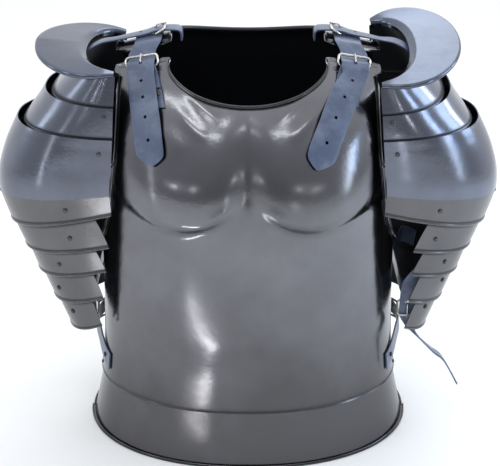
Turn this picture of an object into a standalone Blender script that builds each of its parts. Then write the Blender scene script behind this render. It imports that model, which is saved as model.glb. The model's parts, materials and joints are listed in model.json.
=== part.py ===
"""Steel muscle breastplate with backplate, flared skirt and hanging shoulder lames.

The armour stands on the rolled rim of its skirt. Metres, +Z up, front faces -Y,
the origin is at the middle of the footprint, on the ground.
"""
import math

import bmesh
import bpy
from mathutils import Matrix, Vector

# Sheet steel and leather
PLATE = 0.0012            # sheet thickness
LAYER_GAP = 0.0007        # air between two lapped plates
LAYER = PLATE + LAYER_GAP
LEATHER = 0.0020          # strap thickness
LEATHER_GAP = 0.0008      # air under a strap that lies on steel
FIT = 0.0003              # clearance of a pin in its hole
ROLL_RADIUS = 0.0018      # inside radius of a rolled edge
ROLL_TURNS = (math.radians(95), math.radians(190))

# Torso
TORSO_HEIGHT = 0.430      # hem of the plates to the ridge of the shoulders
TORSO_HALF_WIDTH = 0.190
TORSO_DEPTH = 0.152       # centre plane to the front of the chest
TORSO_SQUARENESS = 2.2
SHOULDER_SLOPE = 0.20     # fall of the shoulder for each metre outwards
SIDE_LAP = 0.012          # breastplate over backplate at the sides
NECK_HALF_WIDTH = 0.099
NECK_DEPTH_FRONT = 1.58   # levels below the shoulder end of the breastplate
TAB_WIDTH = 0.058         # shoulder tab
ARMPIT_LEVEL = 3.5
TAB_END_LEVEL = 9.15      # breastplate ends here on the shoulder
BACK_NECK_LEVEL = 8.45
BACK_TAB_LEVEL = 10.35    # backplate's tab passes over the ridge
CHEST_RELIEF = 0.011      # how far the chest muscles stand out
CHEST_HALF_SPAN = 0.085   # centre line to the middle of one muscle
CREASE_LEVEL = 4.63       # lowest point of the crease under each muscle
CREASE_RISE = 0.72        # levels it rises towards the centre line
BELLY_RELIEF = 0.005

# Skirt
SKIRT_HEIGHT = 0.071
SKIRT_FLARE = 0.015
SKIRT_TUCK = 0.012        # hidden behind the hem of the plates

# Shoulder lames
ARM_INNER = 0.150         # centre plane to the front ends of the lames
ARM_REACH = 0.165         # from there to the widest point
ARM_HEIGHT = 0.512        # opening of the shoulder cap above the ground
ARM_HALF_DEPTH = 0.098
ARM_MIDDLE = 0.004        # centre of the arm behind the centre plane
ARM_ROUNDNESS = 2.3
LAME_FLARE = 0.0075       # top edges of lames 2 and 3 stand away from the one above
LAME_GAP = 0.0016         # air between two lapped lames
GUARD_REACH = 0.053       # width of the neck guard at the shoulder's outer side
GUARD_FLANGE = 0.14       # depth of its flange inside the first lame, in lames
GUARD_PITCH = {-1: math.radians(1), 1: math.radians(9)}

# Straps, buckles and rivets
STRAP_WIDTH = 0.033
STRAP_TAIL = 0.135
HOLE_RADIUS = 0.0019
SHOULDER_STRAP_SIDE = 0.126
RIVET_HEAD = 0.0032
RIVET_HEIGHT = 0.0017
RIVET_SHANK = 0.0015

PROBE = 0.020             # step out of a surface that gives its direction
LEVEL_LENGTH = 0.050      # length on the chest of one level
BUCKLE_WIRE = 0.0014
BUCKLE_FIT = 0.0011       # air between a wire and the leather around it
TONGUE_WIRE = 0.0010
BUCKLE_LENGTH = 0.017
BUCKLE_LEVEL = 8.85
CHAPE_LEVEL = 7.5
CHAPE_SHIFT = 0.012       # chape towards the neck from under the strap's tail
PAULDRON_STRAP_WIDTH = 0.026
PAULDRON_STRAP_LEVEL = 9.72
TAB_LEVEL_LENGTH = 0.042  # length on the shoulder's top of one level
SIDE_STRAP_WIDTH = 0.020
SIDE_STRAP_LEVEL = 0.85
SIDE_STRAP_BULGE = 0.016
SIDE_BUCKLE_Y = 0.042
SIDE_HOLE_ALONG = 0.030   # spare hole in front of the buckle's bar
SIDE_HOLE_SHARE = 0.7     # its height, as a share of the bulge
ARM_STRAP_WIDTH = 0.020
ARM_STRAP_TAIL = {-1: 0.032, 1: 0.130}   # below the bar of the buckle
ARM_STRAP_RIB_GAP = 0.0065   # air between the strap's loop and the side of the torso
SHOULDER_STRAP_TILT = {-1: math.radians(7), 1: math.radians(22)}
STRAP_HOLES = (0.030, 0.056, 0.082, 0.108)   # below the bar of the buckle
LEATHER_END = 0.16        # end of the lame leather past its last rivet, in lames
FRONT_TURN = {-1: 1.0, 1: 0.82}   # lames 4 to 7 reach less far round on the right

# Levels of the torso, hem first. Heights are shares of TORSO_HEIGHT, widths of
# TORSO_HALF_WIDTH, depths of TORSO_DEPTH.
# columns: front height, back height, half width, front depth, back depth
TORSO_LEVELS = (
    (0.000, 0.000, 1.036, 0.965, 0.840),
    (0.125, 0.125, 1.010, 0.935, 0.790),
    (0.250, 0.250, 1.000, 0.955, 0.780),
    (0.375, 0.375, 0.995, 0.975, 0.800),
    (0.500, 0.500, 0.992, 0.990, 0.830),
    (0.620, 0.620, 0.990, 1.000, 0.850),
    (0.740, 0.750, 0.985, 0.960, 0.840),
    (0.855, 0.885, 0.980, 0.820, 0.760),
    (0.940, 0.990, 0.980, 0.590, 0.590),
    (0.992, 1.040, 0.980, 0.320, 0.340),
    (1.015, 1.050, 0.980, 0.060, 0.040),
    (1.020, 1.020, 0.980, -0.200, -0.260),
)

# Stations down one arm. Reaches are shares of ARM_REACH outside ARM_INNER,
# heights of ARM_HEIGHT, depths of ARM_HALF_DEPTH.
# columns: outer reach, outer height, end reach, end height, half depth
ARM_STATIONS = (
    (0.340, 1.000, 0.050, 0.972, 0.950),
    (0.600, 0.900, 0.080, 0.890, 1.000),
    (0.815, 0.820, 0.100, 0.812, 1.030),
    (0.950, 0.740, 0.120, 0.748, 1.035),
    (1.000, 0.660, 0.140, 0.690, 1.030),
    (0.940, 0.560, 0.135, 0.620, 0.985),
    (0.860, 0.490, 0.160, 0.530, 0.950),
    (0.785, 0.422, 0.190, 0.460, 0.915),
    (0.690, 0.344, 0.220, 0.378, 0.870),
    (0.590, 0.262, 0.240, 0.296, 0.820),
)
ARM_STRAP_BAR = (0.340, -0.571, 0.3555)   # shares of reach, half depth and height

# columns: name, first station, last station, layers inside the fold lame, flare,
# half turn at the upper edge, half turn at the lower edge
LAMES = (
    ("lame_1", 0.06, 1.42, 2.0, 0.0, 92, 92),
    ("lame_2", 0.95, 2.55, 1.0, 1.0, 92, 92),
    ("lame_3", 1.92, 5.00, 0.0, 1.0, 92, 92),
    ("lame_4", 4.70, 6.00, 1.0, 0.0, 80, 92),
    ("lame_5", 5.70, 7.00, 2.0, 0.0, 80, 92),
    ("lame_6", 6.70, 8.00, 3.0, 0.0, 78, 92),
    ("lame_7", 7.70, 9.00, 4.0, 0.0, 76, 92),
)

# columns: name, index of the lame, left station, left degrees from the outer side,
# right station, right degrees
LAME_RIVETS = (
    ("rivet_lame_2", 1, 1.20, -85, 1.20, -85),
    ("rivet_lame_3_upper", 2, 2.42, -85, 2.42, -85),
    ("rivet_lame_3", 2, 4.52, -69, 4.52, -64),
    ("rivet_lame_4", 3, 5.48, -68, 5.48, -62),
    ("rivet_lame_5", 4, 6.48, -56, 6.40, -49),
    ("rivet_lame_6", 5, 7.50, -45, 7.25, -41),
    ("rivet_lame_7", 6, 8.32, -51, 8.18, -50),
)

STEEL = ("blued_steel", (0.20, 0.20, 0.22, 1), 0.22, 1.0)
BLACK_LEATHER = ("black_leather", (0.05, 0.06, 0.08, 1), 0.40, 0.0)
BRIGHT_METAL = ("buckle_metal", (0.62, 0.60, 0.57, 1), 0.25, 1.0)


def clear_scene():
    for item in list(bpy.data.objects):
        bpy.data.objects.remove(item, do_unlink=True)


def new_collection(name):
    collection = bpy.data.collections.new(name)
    bpy.context.scene.collection.children.link(collection)
    return collection


def material(name, finish):
    _, colour, roughness, metallic = finish
    result = bpy.data.materials.new(name + "_finish")
    result.use_nodes = True
    shader = result.node_tree.nodes["Principled BSDF"]
    shader.inputs["Base Color"].default_value = colour
    shader.inputs["Roughness"].default_value = roughness
    shader.inputs["Metallic"].default_value = metallic
    return result


def add_object(name, mesh, finish, smooth=math.radians(35)):
    obj = bpy.data.objects.new(name, mesh)
    PARTS.objects.link(obj)
    obj.parent = ROOT
    mesh.materials.append(material(name, finish))
    mesh.shade_smooth()
    mesh.set_sharp_from_angle(angle=smooth)
    return obj


def between(a, b, share):
    return a + (b - a) * share


def ease(share):
    share = min(max(share, 0.0), 1.0)
    return share * share * (3 - 2 * share)


def table_value(table, column, place):
    """Read a smooth curve through one column of an evenly spaced table."""
    last = len(table) - 1
    place = min(max(place, 0.0), float(last))
    row = min(int(place), last - 1)
    t = place - row
    a, b, c, d = (table[min(max(row + k, 0), last)][column] for k in (-1, 0, 1, 2))
    return b + 0.5 * t * (c - a + t * (2 * a - 5 * b + 4 * c - d + t * (3 * (b - c) + d - a)))


def arch(angle, power):
    """Across and along shares of a rounded box at a polar angle from its middle."""
    s, c = math.sin(angle), math.cos(angle)
    r = (abs(s) ** power + abs(c) ** power) ** (-1 / power)
    return s * r, c * r


def torso_width(level):
    return TORSO_HALF_WIDTH * table_value(TORSO_LEVELS, 2, level)


def chest_relief(x, level):
    """Height of the hammered muscles over the plain form."""
    side = abs(x)
    crease = CREASE_LEVEL + CREASE_RISE * ((side - CHEST_HALF_SPAN) / CHEST_HALF_SPAN) ** 2
    across = math.exp(-((side - CHEST_HALF_SPAN) / (0.85 * CHEST_HALF_SPAN)) ** 4)
    above = ease((level - crease + 0.2) / 0.5)
    fade = 1 - ease((level - crease - 0.5) / 2.2)
    muscle = CHEST_RELIEF * across * above * fade
    groove = math.exp(-(side / (0.22 * CHEST_HALF_SPAN)) ** 2)
    belly = BELLY_RELIEF * math.exp(-(side / CHEST_HALF_SPAN) ** 2) * ease(level / 2) * ease((5 - level) / 3)
    return muscle - 0.3 * CHEST_RELIEF * groove * above * fade + belly


def torso_form(angle, level):
    """Point of the torso form; angle 0 is the front, a half turn the back."""
    across, along = arch(angle, TORSO_SQUARENESS)
    x = torso_width(level) * across
    front = ease((along + 0.06) / 0.12)
    if along > 0:
        depth = -TORSO_DEPTH * table_value(TORSO_LEVELS, 3, level) * along
    else:
        depth = -TORSO_DEPTH * table_value(TORSO_LEVELS, 4, level) * along
    height = between(table_value(TORSO_LEVELS, 1, level), table_value(TORSO_LEVELS, 0, level), front)
    slope = SHOULDER_SLOPE * ease((level - 6) / 3) * max(abs(x) - NECK_HALF_WIDTH, 0)
    depth -= chest_relief(x, level) * ease(along * 2)
    return Vector((x, depth, SKIRT_HEIGHT + TORSO_HEIGHT * height - slope))


def torso_normal(angle, level):
    step = 0.004
    around = torso_form(angle + step, level) - torso_form(angle - step, level)
    upward = torso_form(angle, level + step) - torso_form(angle, level - step)
    return around.cross(upward).normalized()


def torso_surface(angle, level, outwards=0.0):
    return torso_form(angle, level) + torso_normal(angle, level) * outwards


def angle_at(x, level):
    """Polar angle at which the front of the form is x from the centre plane."""
    share = min(abs(x) / torso_width(level), 0.9999) ** TORSO_SQUARENESS
    angle = math.atan((share / (1 - share)) ** (1 / TORSO_SQUARENESS))
    return math.copysign(angle, x)


def side_angle(y, level=2.0):
    """Polar angle near the side at which the form has the given y."""
    column = 3 if y < 0 else 4
    share = abs(y) / (TORSO_DEPTH * table_value(TORSO_LEVELS, column, level))
    bend = math.atan(share / (1 - share ** TORSO_SQUARENESS) ** (1 / TORSO_SQUARENESS))
    return math.pi / 2 + math.copysign(bend, y)


def plate_grid(name, point, columns, rows, mirror=True, inward=False, thickness=PLATE, finish=STEEL):
    """A sheet whose outer face is point(across, up), with its wall on the inside."""
    bm = bmesh.new()
    bmesh.ops.create_grid(bm, x_segments=columns, y_segments=rows, size=0.5)
    for vert in bm.verts:
        vert.co = point(round((vert.co.x + 0.5) * columns), round((vert.co.y + 0.5) * rows))
    if inward:
        bmesh.ops.reverse_faces(bm, faces=bm.faces)
    if mirror:
        for vert in bm.verts:
            if abs(vert.co.x) < 1e-6:
                vert.co.x = 0
    mesh = bpy.data.meshes.new(name)
    bm.to_mesh(mesh)
    bm.free()
    obj = add_object(name, mesh, finish)
    if mirror:
        twin = obj.modifiers.new("Mirror", "MIRROR")
        twin.use_clip = True
        twin.merge_threshold = 0.0001
    wall = obj.modifiers.new("Wall", "SOLIDIFY")
    wall.thickness = thickness
    wall.offset = -1
    wall.use_even_offset = True
    wall.use_quality_normals = True
    return obj


def rolled(edge, before, along, normal, turn, strength):
    """Point of a rolled edge that starts at edge and has bent by turn to the outside."""
    away = along.cross(normal).normalized()
    if away.dot(edge - before) < 0:
        away.negate()
    strength = max(strength, 0.02)
    radius = ROLL_RADIUS / strength
    turn *= strength
    return edge + away * (math.sin(turn) * radius) + normal * ((1 - math.cos(turn)) * radius)


NECK_STEPS, TAB_STEPS, ARM_STEPS = 6, 2, 7
TORSO_STEPS = NECK_STEPS + TAB_STEPS + ARM_STEPS
TORSO_ROWS = {False: (0.11, 0.22, 0.36, 0.50, 0.62, 0.73, 0.83, 0.92),
              True: (0.11, 0.23, 0.42, 0.62, 0.80, 0.92)}


def torso_edge(place, neck_level, tab_level, end_angle):
    """Angle and level of the upper edge, from the centre to the armpit; place counts steps."""
    tab_in = (NECK_HALF_WIDTH, tab_level)
    tab_out = (NECK_HALF_WIDTH + TAB_WIDTH, tab_level)
    if place <= NECK_STEPS:
        turn = (1 - place / NECK_STEPS) * math.pi / 2
        x = tab_in[0] * math.cos(turn) ** 0.95
        level = between(neck_level, tab_level, 1 - math.sin(turn) ** 0.85)
        return angle_at(x, level), level
    if place <= NECK_STEPS + TAB_STEPS:
        x = between(tab_in[0], tab_out[0], (place - NECK_STEPS) / TAB_STEPS)
        return angle_at(x, tab_level), tab_level
    share = (place - NECK_STEPS - TAB_STEPS) / ARM_STEPS
    start = angle_at(tab_out[0], tab_level)
    across, along = arch(share * math.pi / 2, 3.2)
    return between(end_angle, start, along), between(tab_level, ARMPIT_LEVEL, across)


def torso_plate(name, back, end_angle, neck_level, tab_level, outwards):
    """Breastplate or backplate as a grid from its hem to its rolled upper edge."""
    shares = (0,) + TORSO_ROWS[back] + (1,)
    rows = len(shares) - 1

    def place(column, row):
        angle, level = torso_edge(column, neck_level, tab_level, end_angle)
        bottom = end_angle * (column / TORSO_STEPS) ** 0.9
        low = min(int(row), rows - 1)
        share = between(shares[low], shares[low + 1], row - low)
        return between(bottom, angle, share ** 1.3), level * share

    def at(column, row):
        angle, level = place(column, row)
        return torso_surface(math.pi - angle if back else angle, level, outwards)

    def point(column, row):
        edge = at(column, min(row, rows))
        if row <= rows:
            return edge
        nudge = 0.05
        along = at(min(column + nudge, TORSO_STEPS), rows) - at(max(column - nudge, 0), rows)
        angle, level = place(column, rows)
        normal = torso_normal(math.pi - angle if back else angle, level)
        before = at(column, rows - nudge)
        strength = ease(abs(column - NECK_STEPS - TAB_STEPS / 2) / 2 - 0.2)
        if back:
            strength *= ease((TORSO_STEPS - column) / 2 - 0.5)
        edge = rolled(edge, before, along, normal, ROLL_TURNS[row - rows - 1], strength)
        if column == 0:
            edge.x = 0
        return edge

    return plate_grid(name, point, TORSO_STEPS, rows + len(ROLL_TURNS), inward=back)


def skirt_point(angle, drop, outwards):
    """Point of the flared skirt, drop metres below the hem (negative is above it)."""
    if drop < 0:
        return torso_surface(angle, -drop / TORSO_HEIGHT * 8.0, outwards)
    hem = torso_surface(angle, 0.0, outwards)
    out = Vector((hem.x, hem.y, 0)).normalized()
    share = drop / SKIRT_HEIGHT
    point = hem + out * SKIRT_FLARE * share ** 1.1
    point.z = SKIRT_HEIGHT - drop
    return point


def skirt(name, first_angle, last_angle, outwards):
    columns, tuck_rows, wall_rows = 9, 1, 1
    bends = [math.radians(turn) for turn in (60, 120, 190)]
    ground = ROLL_RADIUS * math.sin(bends[0]) + PLATE

    def point(column, row):
        angle = between(first_angle, last_angle, column / columns)
        if row <= tuck_rows:
            return skirt_point(angle, -SKIRT_TUCK * (1 - row / tuck_rows), outwards)
        share = min((row - tuck_rows) / wall_rows, 1)
        edge = skirt_point(angle, (SKIRT_HEIGHT - ground) * share, outwards)
        if row <= tuck_rows + wall_rows:
            return edge
        turn = bends[row - tuck_rows - wall_rows - 1]
        around = skirt_point(angle + 0.01, 0, 0) - skirt_point(angle - 0.01, 0, 0)
        out = around.cross(Vector((0, 0, 1)))
        out.z = 0
        out.normalize()
        return edge + out * ROLL_RADIUS * (1 - math.cos(turn)) - Vector((0, 0, ROLL_RADIUS * math.sin(turn)))

    return plate_grid(name, point, columns, tuck_rows + wall_rows + len(bends), inward=True)


def arm_point(side, place, angle, outwards=0.0, flare=0.0):
    """Point of one shoulder form; angle 0 is the outer side, negative the front."""
    across, along = arch(angle, ARM_ROUNDNESS)
    outer = ARM_INNER + ARM_REACH * table_value(ARM_STATIONS, 0, place)
    end = ARM_INNER + ARM_REACH * table_value(ARM_STATIONS, 2, place)
    high = ARM_HEIGHT * table_value(ARM_STATIONS, 1, place)
    low = ARM_HEIGHT * table_value(ARM_STATIONS, 3, place)
    half = ARM_HALF_DEPTH * table_value(ARM_STATIONS, 4, place)
    x = between(end, outer, along) + flare * max(along, 0) ** 3
    y = half * across
    z = between(low, high, along) + math.tan(GUARD_PITCH[side]) * y * (1 - ease(place / 2.5))
    return Vector((x, y + ARM_MIDDLE, z))


def arm_normal(side, place, angle):
    step = 0.01
    around = arm_point(side, place, angle + step) - arm_point(side, place, angle - step)
    downward = arm_point(side, place + step, angle) - arm_point(side, max(place - step, 0), angle)
    return downward.cross(around).normalized()


def arm_surface(side, place, angle, outwards=0.0, flare=0.0):
    point = arm_point(side, place, angle, 0.0, flare) + arm_normal(side, place, angle) * outwards
    return Vector((point.x * side, point.y, point.z))


def lame(label, side, first, last, layers, flare, upper_turn, lower_turn):
    columns = 12
    rows = 5 if last - first > 2 else 2 if first < 2 else 1
    front = FRONT_TURN[side] if first > 2 else 1.0

    def point(column, row):
        share = row / rows
        half_turn = math.radians(between(lower_turn, upper_turn, share))
        angle = between(-half_turn * front, half_turn, column / columns)
        stand = LAME_FLARE * flare * share ** 3
        share = share ** 1.3 if rows > 2 else share
        return arm_surface(side, between(last, first, share), angle, -layers * (PLATE + LAME_GAP), stand)

    return plate_grid(label, point, columns, rows, mirror=False, inward=side < 0)


def neck_guard(label, side):
    """Crescent brim on a short flange that sits inside the first lame."""
    columns = 10
    flange = -3 * (PLATE + LAME_GAP)
    lift = 0.0035

    def point(column, row):
        angle = math.radians(between(-90, 90, column / columns))
        if row < 2:
            return arm_surface(side, GUARD_FLANGE * (1 - row), angle, flange)
        edge = arm_surface(side, 0.0, angle, flange)
        across, along = arch(angle, ARM_ROUNDNESS)
        out = Vector((side * max(along, 0), across * 0.9, 0)).normalized()
        width = GUARD_REACH * max(math.cos(angle), 0) ** 1.3 + 0.006
        rise = 0.10 + 0.28 * math.sin(angle)
        share = min((0.10, 0.5, 1.0)[min(row - 2, 2)], 1)
        rim = edge + out * width * share + Vector((0, 0, lift + width * share * rise))
        if row < 5:
            return rim
        down = Vector((out.x * rise, out.y * rise, -1)).normalized()
        away = Vector((out.x, out.y, rise)).normalized()
        turn = ROLL_TURNS[row - 5]
        return rim + (away * math.sin(turn) + down * (1 - math.cos(turn))) * ROLL_RADIUS

    return plate_grid(label, point, columns, 4 + len(ROLL_TURNS), mirror=False, inward=side < 0)


def ribbon(name, rows, inward=False, finish=BLACK_LEATHER):
    """A strap whose outer face runs through rows of points."""
    return plate_grid(name, lambda column, row: rows[row][column], len(rows[0]) - 1, len(rows) - 1,
                      mirror=False, inward=inward, thickness=LEATHER, finish=finish)


def chest_point(side, x, level, outwards):
    point = torso_surface(angle_at(x, level), level, outwards)
    return Vector((point.x * side, point.y, point.z))


def back_point(side, x, level, outwards):
    point = torso_surface(math.pi - angle_at(x, level), level, outwards)
    return Vector((point.x * side, point.y, point.z))


def wire(points, radius, closed=False):
    """A round wire through points, as a plain mesh."""
    curve = bpy.data.curves.new("wire", "CURVE")
    curve.dimensions = "3D"
    curve.bevel_depth = radius
    curve.bevel_resolution = 0
    curve.use_fill_caps = True
    spline = curve.splines.new("POLY")
    spline.points.add(len(points) - 1)
    for target, point in zip(spline.points, points):
        target.co = (*point, 1)
    spline.use_cyclic_u = closed
    guide = bpy.data.objects.new("wire_guide", curve)
    CUTTERS.objects.link(guide)
    bpy.context.view_layer.update()
    mesh = bpy.data.meshes.new_from_object(guide.evaluated_get(bpy.context.evaluated_depsgraph_get()))
    bpy.data.objects.remove(guide, do_unlink=True)
    bm = bmesh.new()
    bm.from_mesh(mesh)
    bmesh.ops.remove_doubles(bm, verts=bm.verts, dist=0.00001)
    bmesh.ops.recalc_face_normals(bm, faces=bm.faces)
    bm.to_mesh(mesh)
    bm.free()
    return mesh


def cutter(mesh):
    obj = bpy.data.objects.new("cutter", mesh)
    CUTTERS.objects.link(obj)
    obj.parent = ROOT
    obj.hide_render = True
    obj.display_type = "WIRE"
    return obj


def combine(obj, tool, operation="DIFFERENCE"):
    step = obj.modifiers.new("Cut", "BOOLEAN")
    step.operation = operation
    step.solver = "EXACT"
    step.object = tool


def drill(objects, point, normal, radius, depth, sides=6):
    """Round hole along normal through each of objects."""
    mesh = bpy.data.meshes.new("drill")
    bm = bmesh.new()
    bmesh.ops.create_cone(bm, cap_ends=True, segments=sides, radius1=radius, radius2=radius, depth=depth)
    bm.to_mesh(mesh)
    bm.free()
    tool = cutter(mesh)
    tool.matrix_local = Matrix.Translation(point) @ normal.to_track_quat("Z", "Y").to_matrix().to_4x4()
    for obj in objects:
        combine(obj, tool)


def reach_of(obj, point, normal, spread, outer=True):
    """Height along normal, over point, of the face that a pin of this spread rests on."""
    obj_now = obj.evaluated_get(bpy.context.evaluated_depsgraph_get())
    heading = -normal if outer else normal
    turn = normal.to_track_quat("Z", "Y").to_matrix()
    heights = []
    for x, y in ((0, 0), (1, 0), (0, 1), (-1, 0), (0, -1)):
        start = point + turn @ Vector((x * spread, y * spread, 0))
        hit, place, _, _ = obj_now.ray_cast(start - heading * 0.008, heading, distance=0.016)
        if hit:
            heights.append((place - start).dot(normal))
    return (max if outer else min)(heights)


def rivet(name, objects, point, normal):
    """Domed rivet that holds objects together near point."""
    bpy.context.view_layer.update()
    top = max(reach_of(obj, point, normal, RIVET_HEAD) for obj in objects) + FIT
    foot = min(reach_of(obj, point, normal, 0.8 * RIVET_HEAD, False) for obj in objects) - FIT
    drill(objects, point + normal * (top + foot) / 2, normal, RIVET_SHANK + FIT, top - foot + 0.002)
    profile = ((0, top + RIVET_HEIGHT), (RIVET_HEAD, top),
               (RIVET_SHANK, top), (RIVET_SHANK, foot), (0.8 * RIVET_HEAD, foot), (0, foot - 0.0009))
    mesh = bpy.data.meshes.new(name)
    mesh.from_pydata([(x, 0, z) for x, z in profile], [(k, k + 1) for k in range(len(profile) - 1)], [])
    obj = add_object(name, mesh, STEEL)
    turned = obj.modifiers.new("Turned", "SCREW")
    turned.steps = turned.render_steps = 6
    turned.use_merge_vertices = True
    turned.merge_threshold = 0.00005
    obj.matrix_local = Matrix.Translation(point) @ normal.to_track_quat("Z", "Y").to_matrix().to_4x4()
    return obj


def stud(plate, strap, point, normal):
    """Fixed stud of the plate that a strap is pressed over."""
    bpy.context.view_layer.update()
    top = reach_of(strap, point, normal, RIVET_HEAD) + FIT
    drill([strap], point, normal, RIVET_SHANK + FIT, 0.014)
    mesh = bpy.data.meshes.new("stud")
    bm = bmesh.new()
    low = reach_of(plate, point, normal, RIVET_SHANK) - PLATE / 2
    shank = top + RIVET_HEIGHT - low
    bmesh.ops.create_cone(bm, cap_ends=True, segments=6, radius1=RIVET_SHANK, radius2=RIVET_SHANK,
                          depth=shank, matrix=Matrix.Translation((0, 0, low + shank / 2)))
    bm.to_mesh(mesh)
    bm.free()
    tool = cutter(mesh)
    tool.matrix_local = Matrix.Translation(point) @ normal.to_track_quat("Z", "Y").to_matrix().to_4x4()
    combine(plate, tool, "UNION")


def buckle(name, chart, half_width, length, low, high, pin_shift=0.0):
    """Wire frame whose bar lies at low and whose far side at high, with a tongue."""
    reach = half_width + BUCKLE_FIT + BUCKLE_WIRE
    corner = 0.15 * length
    frame = [chart(x * reach, 0, low) for x in (-0.9, 0, 0.9)]
    for across, along in ((1, corner), (1, length - corner), (0.86, length), (-0.86, length),
                          (-1, length - corner), (-1, corner)):
        frame.append(chart(across * reach, along, between(low, high, min(along / length, 1))))
    obj = add_object(name, wire(frame, BUCKLE_WIRE, closed=True), BRIGHT_METAL)
    top = high + BUCKLE_WIRE + 0.6 * TONGUE_WIRE
    lift = max(top, low + 2 * LEATHER + 0.0028)
    path = ((0, low), (0.0004, low + 0.003), (0.0016, lift), (0.5 * length, lift), (length * 1.1, top))
    tongue = cutter(wire([chart(pin_shift, along, out) for along, out in path], TONGUE_WIRE))
    combine(obj, tongue, "UNION")
    return obj


def strap_holes(obj, chart, places, radius=0.0):
    """Punched holes through a strap at (across, along) of its chart."""
    for across, along, out in places:
        middle = chart(across, along, out)
        normal = (chart(across, along, out + 0.001) - middle).normalized()
        drill([obj], middle, normal, radius or HOLE_RADIUS, 0.014)


def shoulder_straps(side_name, side, breastplate, backplate):
    """Long strap from the backplate through the buckle of a short chape on the chest."""
    under = LEATHER_GAP + LEATHER
    loop = BUCKLE_WIRE + BUCKLE_FIT
    bar = under + loop
    over_bar = bar + loop + LEATHER + FIT + LEATHER
    far_bar = between(bar, over_bar, 0.55)

    def chart(across, along, out):
        return chest_point(side, SHOULDER_STRAP_SIDE + across, BUCKLE_LEVEL + along / LEVEL_LENGTH, out)

    chape_low = (CHAPE_LEVEL - BUCKLE_LEVEL) * LEVEL_LENGTH
    stations = [(chape_low * share, under) for share in (1, 0.6, 0.3, 0)]
    stations += [(loop * math.sin(turn), bar - loop * math.cos(turn))
                 for turn in (math.pi / 4, math.pi / 2, 3 * math.pi / 4)]
    stations += [(0, bar + loop), (chape_low * 0.12, bar + loop - 0.0008),
                 (chape_low * 0.28, under + 2 * FIT), (chape_low * 0.60, under + 2 * FIT)]
    half = STRAP_WIDTH / 2
    rows = []
    for along, out in stations:
        narrow = 0.92 if abs(along) < 0.005 else 1
        shift = CHAPE_SHIFT * along / chape_low
        rows.append([chart(x * half * narrow - shift, along, out) for x in (-1, 0, 1)])
    chape = ribbon(side_name + "_shoulder_chape", rows, inward=side < 0)
    slot = bpy.data.meshes.new("slot")
    bm = bmesh.new()
    bmesh.ops.create_cube(bm, size=1)
    bm.to_mesh(slot)
    bm.free()
    tool = cutter(slot)
    middle = chart(0, 0, bar + loop)
    out = (chart(0, 0, bar + 0.01) - middle).normalized()
    turn = out.to_track_quat("Z", "Y").to_matrix().to_4x4()
    tool.matrix_local = Matrix.Translation(middle) @ turn @ Matrix.Diagonal((0.0042, 0.0085, 0.008, 1))
    combine(chape, tool)
    frame = buckle(side_name + "_shoulder_buckle", chart, half, BUCKLE_LENGTH, bar,
                   far_bar + LEATHER + 2 * FIT)

    tilt = SHOULDER_STRAP_TILT[side]
    over_chape = under + 2 * LEATHER + 6 * FIT
    tail = [(0.5, over_bar - 0.0012), (0.9, over_chape + 0.0006)]
    rows = []
    for level, out in ((9.0, 0.0), (9.4, 0.0), (9.8, 0.0), (10.15, 0.0008), (10.45, 0.0035)):
        off = out - LAYER + LEATHER_GAP + LEATHER
        rows.append([back_point(side, SHOULDER_STRAP_SIDE - 0.004 + x * half, level, off)
                     for x in (-1, 0, 1)])
    for along, out in ((0.030, 0.0105), (BUCKLE_LENGTH, far_bar - FIT),
                       (0.5 * BUCKLE_LENGTH, between(far_bar, over_bar, 0.6)), (0, over_bar),
                       (-0.010, over_bar - 0.0008), (-0.020, over_chape + 0.0004)):
        rows.append([chart(x * half, along, out) for x in (-1, 0, 1)])
    for share, width, out in ((0.34, 1, over_chape), (0.50, 1, over_chape), (0.66, 1, over_chape * 0.85),
                              (0.80, 1, over_chape * 0.7), (0.90, 0.96, over_chape * 0.65),
                              (0.96, 0.62, over_chape * 0.62), (1.0, 0.12, over_chape * 0.6)):
        along = -STRAP_TAIL * share
        shift = (share - 0.15) * STRAP_TAIL * math.tan(tilt)
        rows.append([chart(x * half * width - shift, along - x * half * width * math.sin(tilt) * 0.9, out)
                     for x in (-1, 0, 1)])
    strap = ribbon(side_name + "_shoulder_strap", rows, inward=side > 0)
    drill([strap], chart(0, 0.0012, over_bar - LEATHER / 2),
          (chart(0, 0, 0.01) - chart(0, 0, 0)).normalized(), TONGUE_WIRE + 4 * FIT, 0.006)
    for fall in STRAP_HOLES:
        share = fall / STRAP_TAIL
        shift = max(share - 0.15, 0) * STRAP_TAIL * math.tan(tilt)
        strap_holes(strap, chart, [(-shift, -STRAP_TAIL * share, over_chape - LEATHER / 2)])
    point = back_point(side, SHOULDER_STRAP_SIDE - 0.004, 9.25, 0)
    normal = back_point(side, SHOULDER_STRAP_SIDE - 0.004, 9.25, 0.01) - point
    stud(backplate, strap, point, normal.normalized())
    across, along = -0.0205, chape_low * 0.72
    point = chart(across, along, 0)
    normal = (chart(across, along, PROBE) - point).normalized()
    rivet(side_name + "_chape_rivet", [chape, breastplate], point, normal)


def arm_angle(y, place):
    """Polar angle at which the arm form has the given y."""
    share = (y - ARM_MIDDLE) / (ARM_HALF_DEPTH * table_value(ARM_STATIONS, 4, place))
    power = abs(share) ** ARM_ROUNDNESS
    return math.copysign(math.atan((power / (1 - power)) ** (1 / ARM_ROUNDNESS)), share)


def tongue_hole(strap, chart, out, along=0.0012):
    middle = chart(0, along, out)
    normal = (chart(0, along, out + 0.01) - middle).normalized()
    drill([strap], middle, normal, TONGUE_WIRE + 4 * FIT, 0.008)


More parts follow.
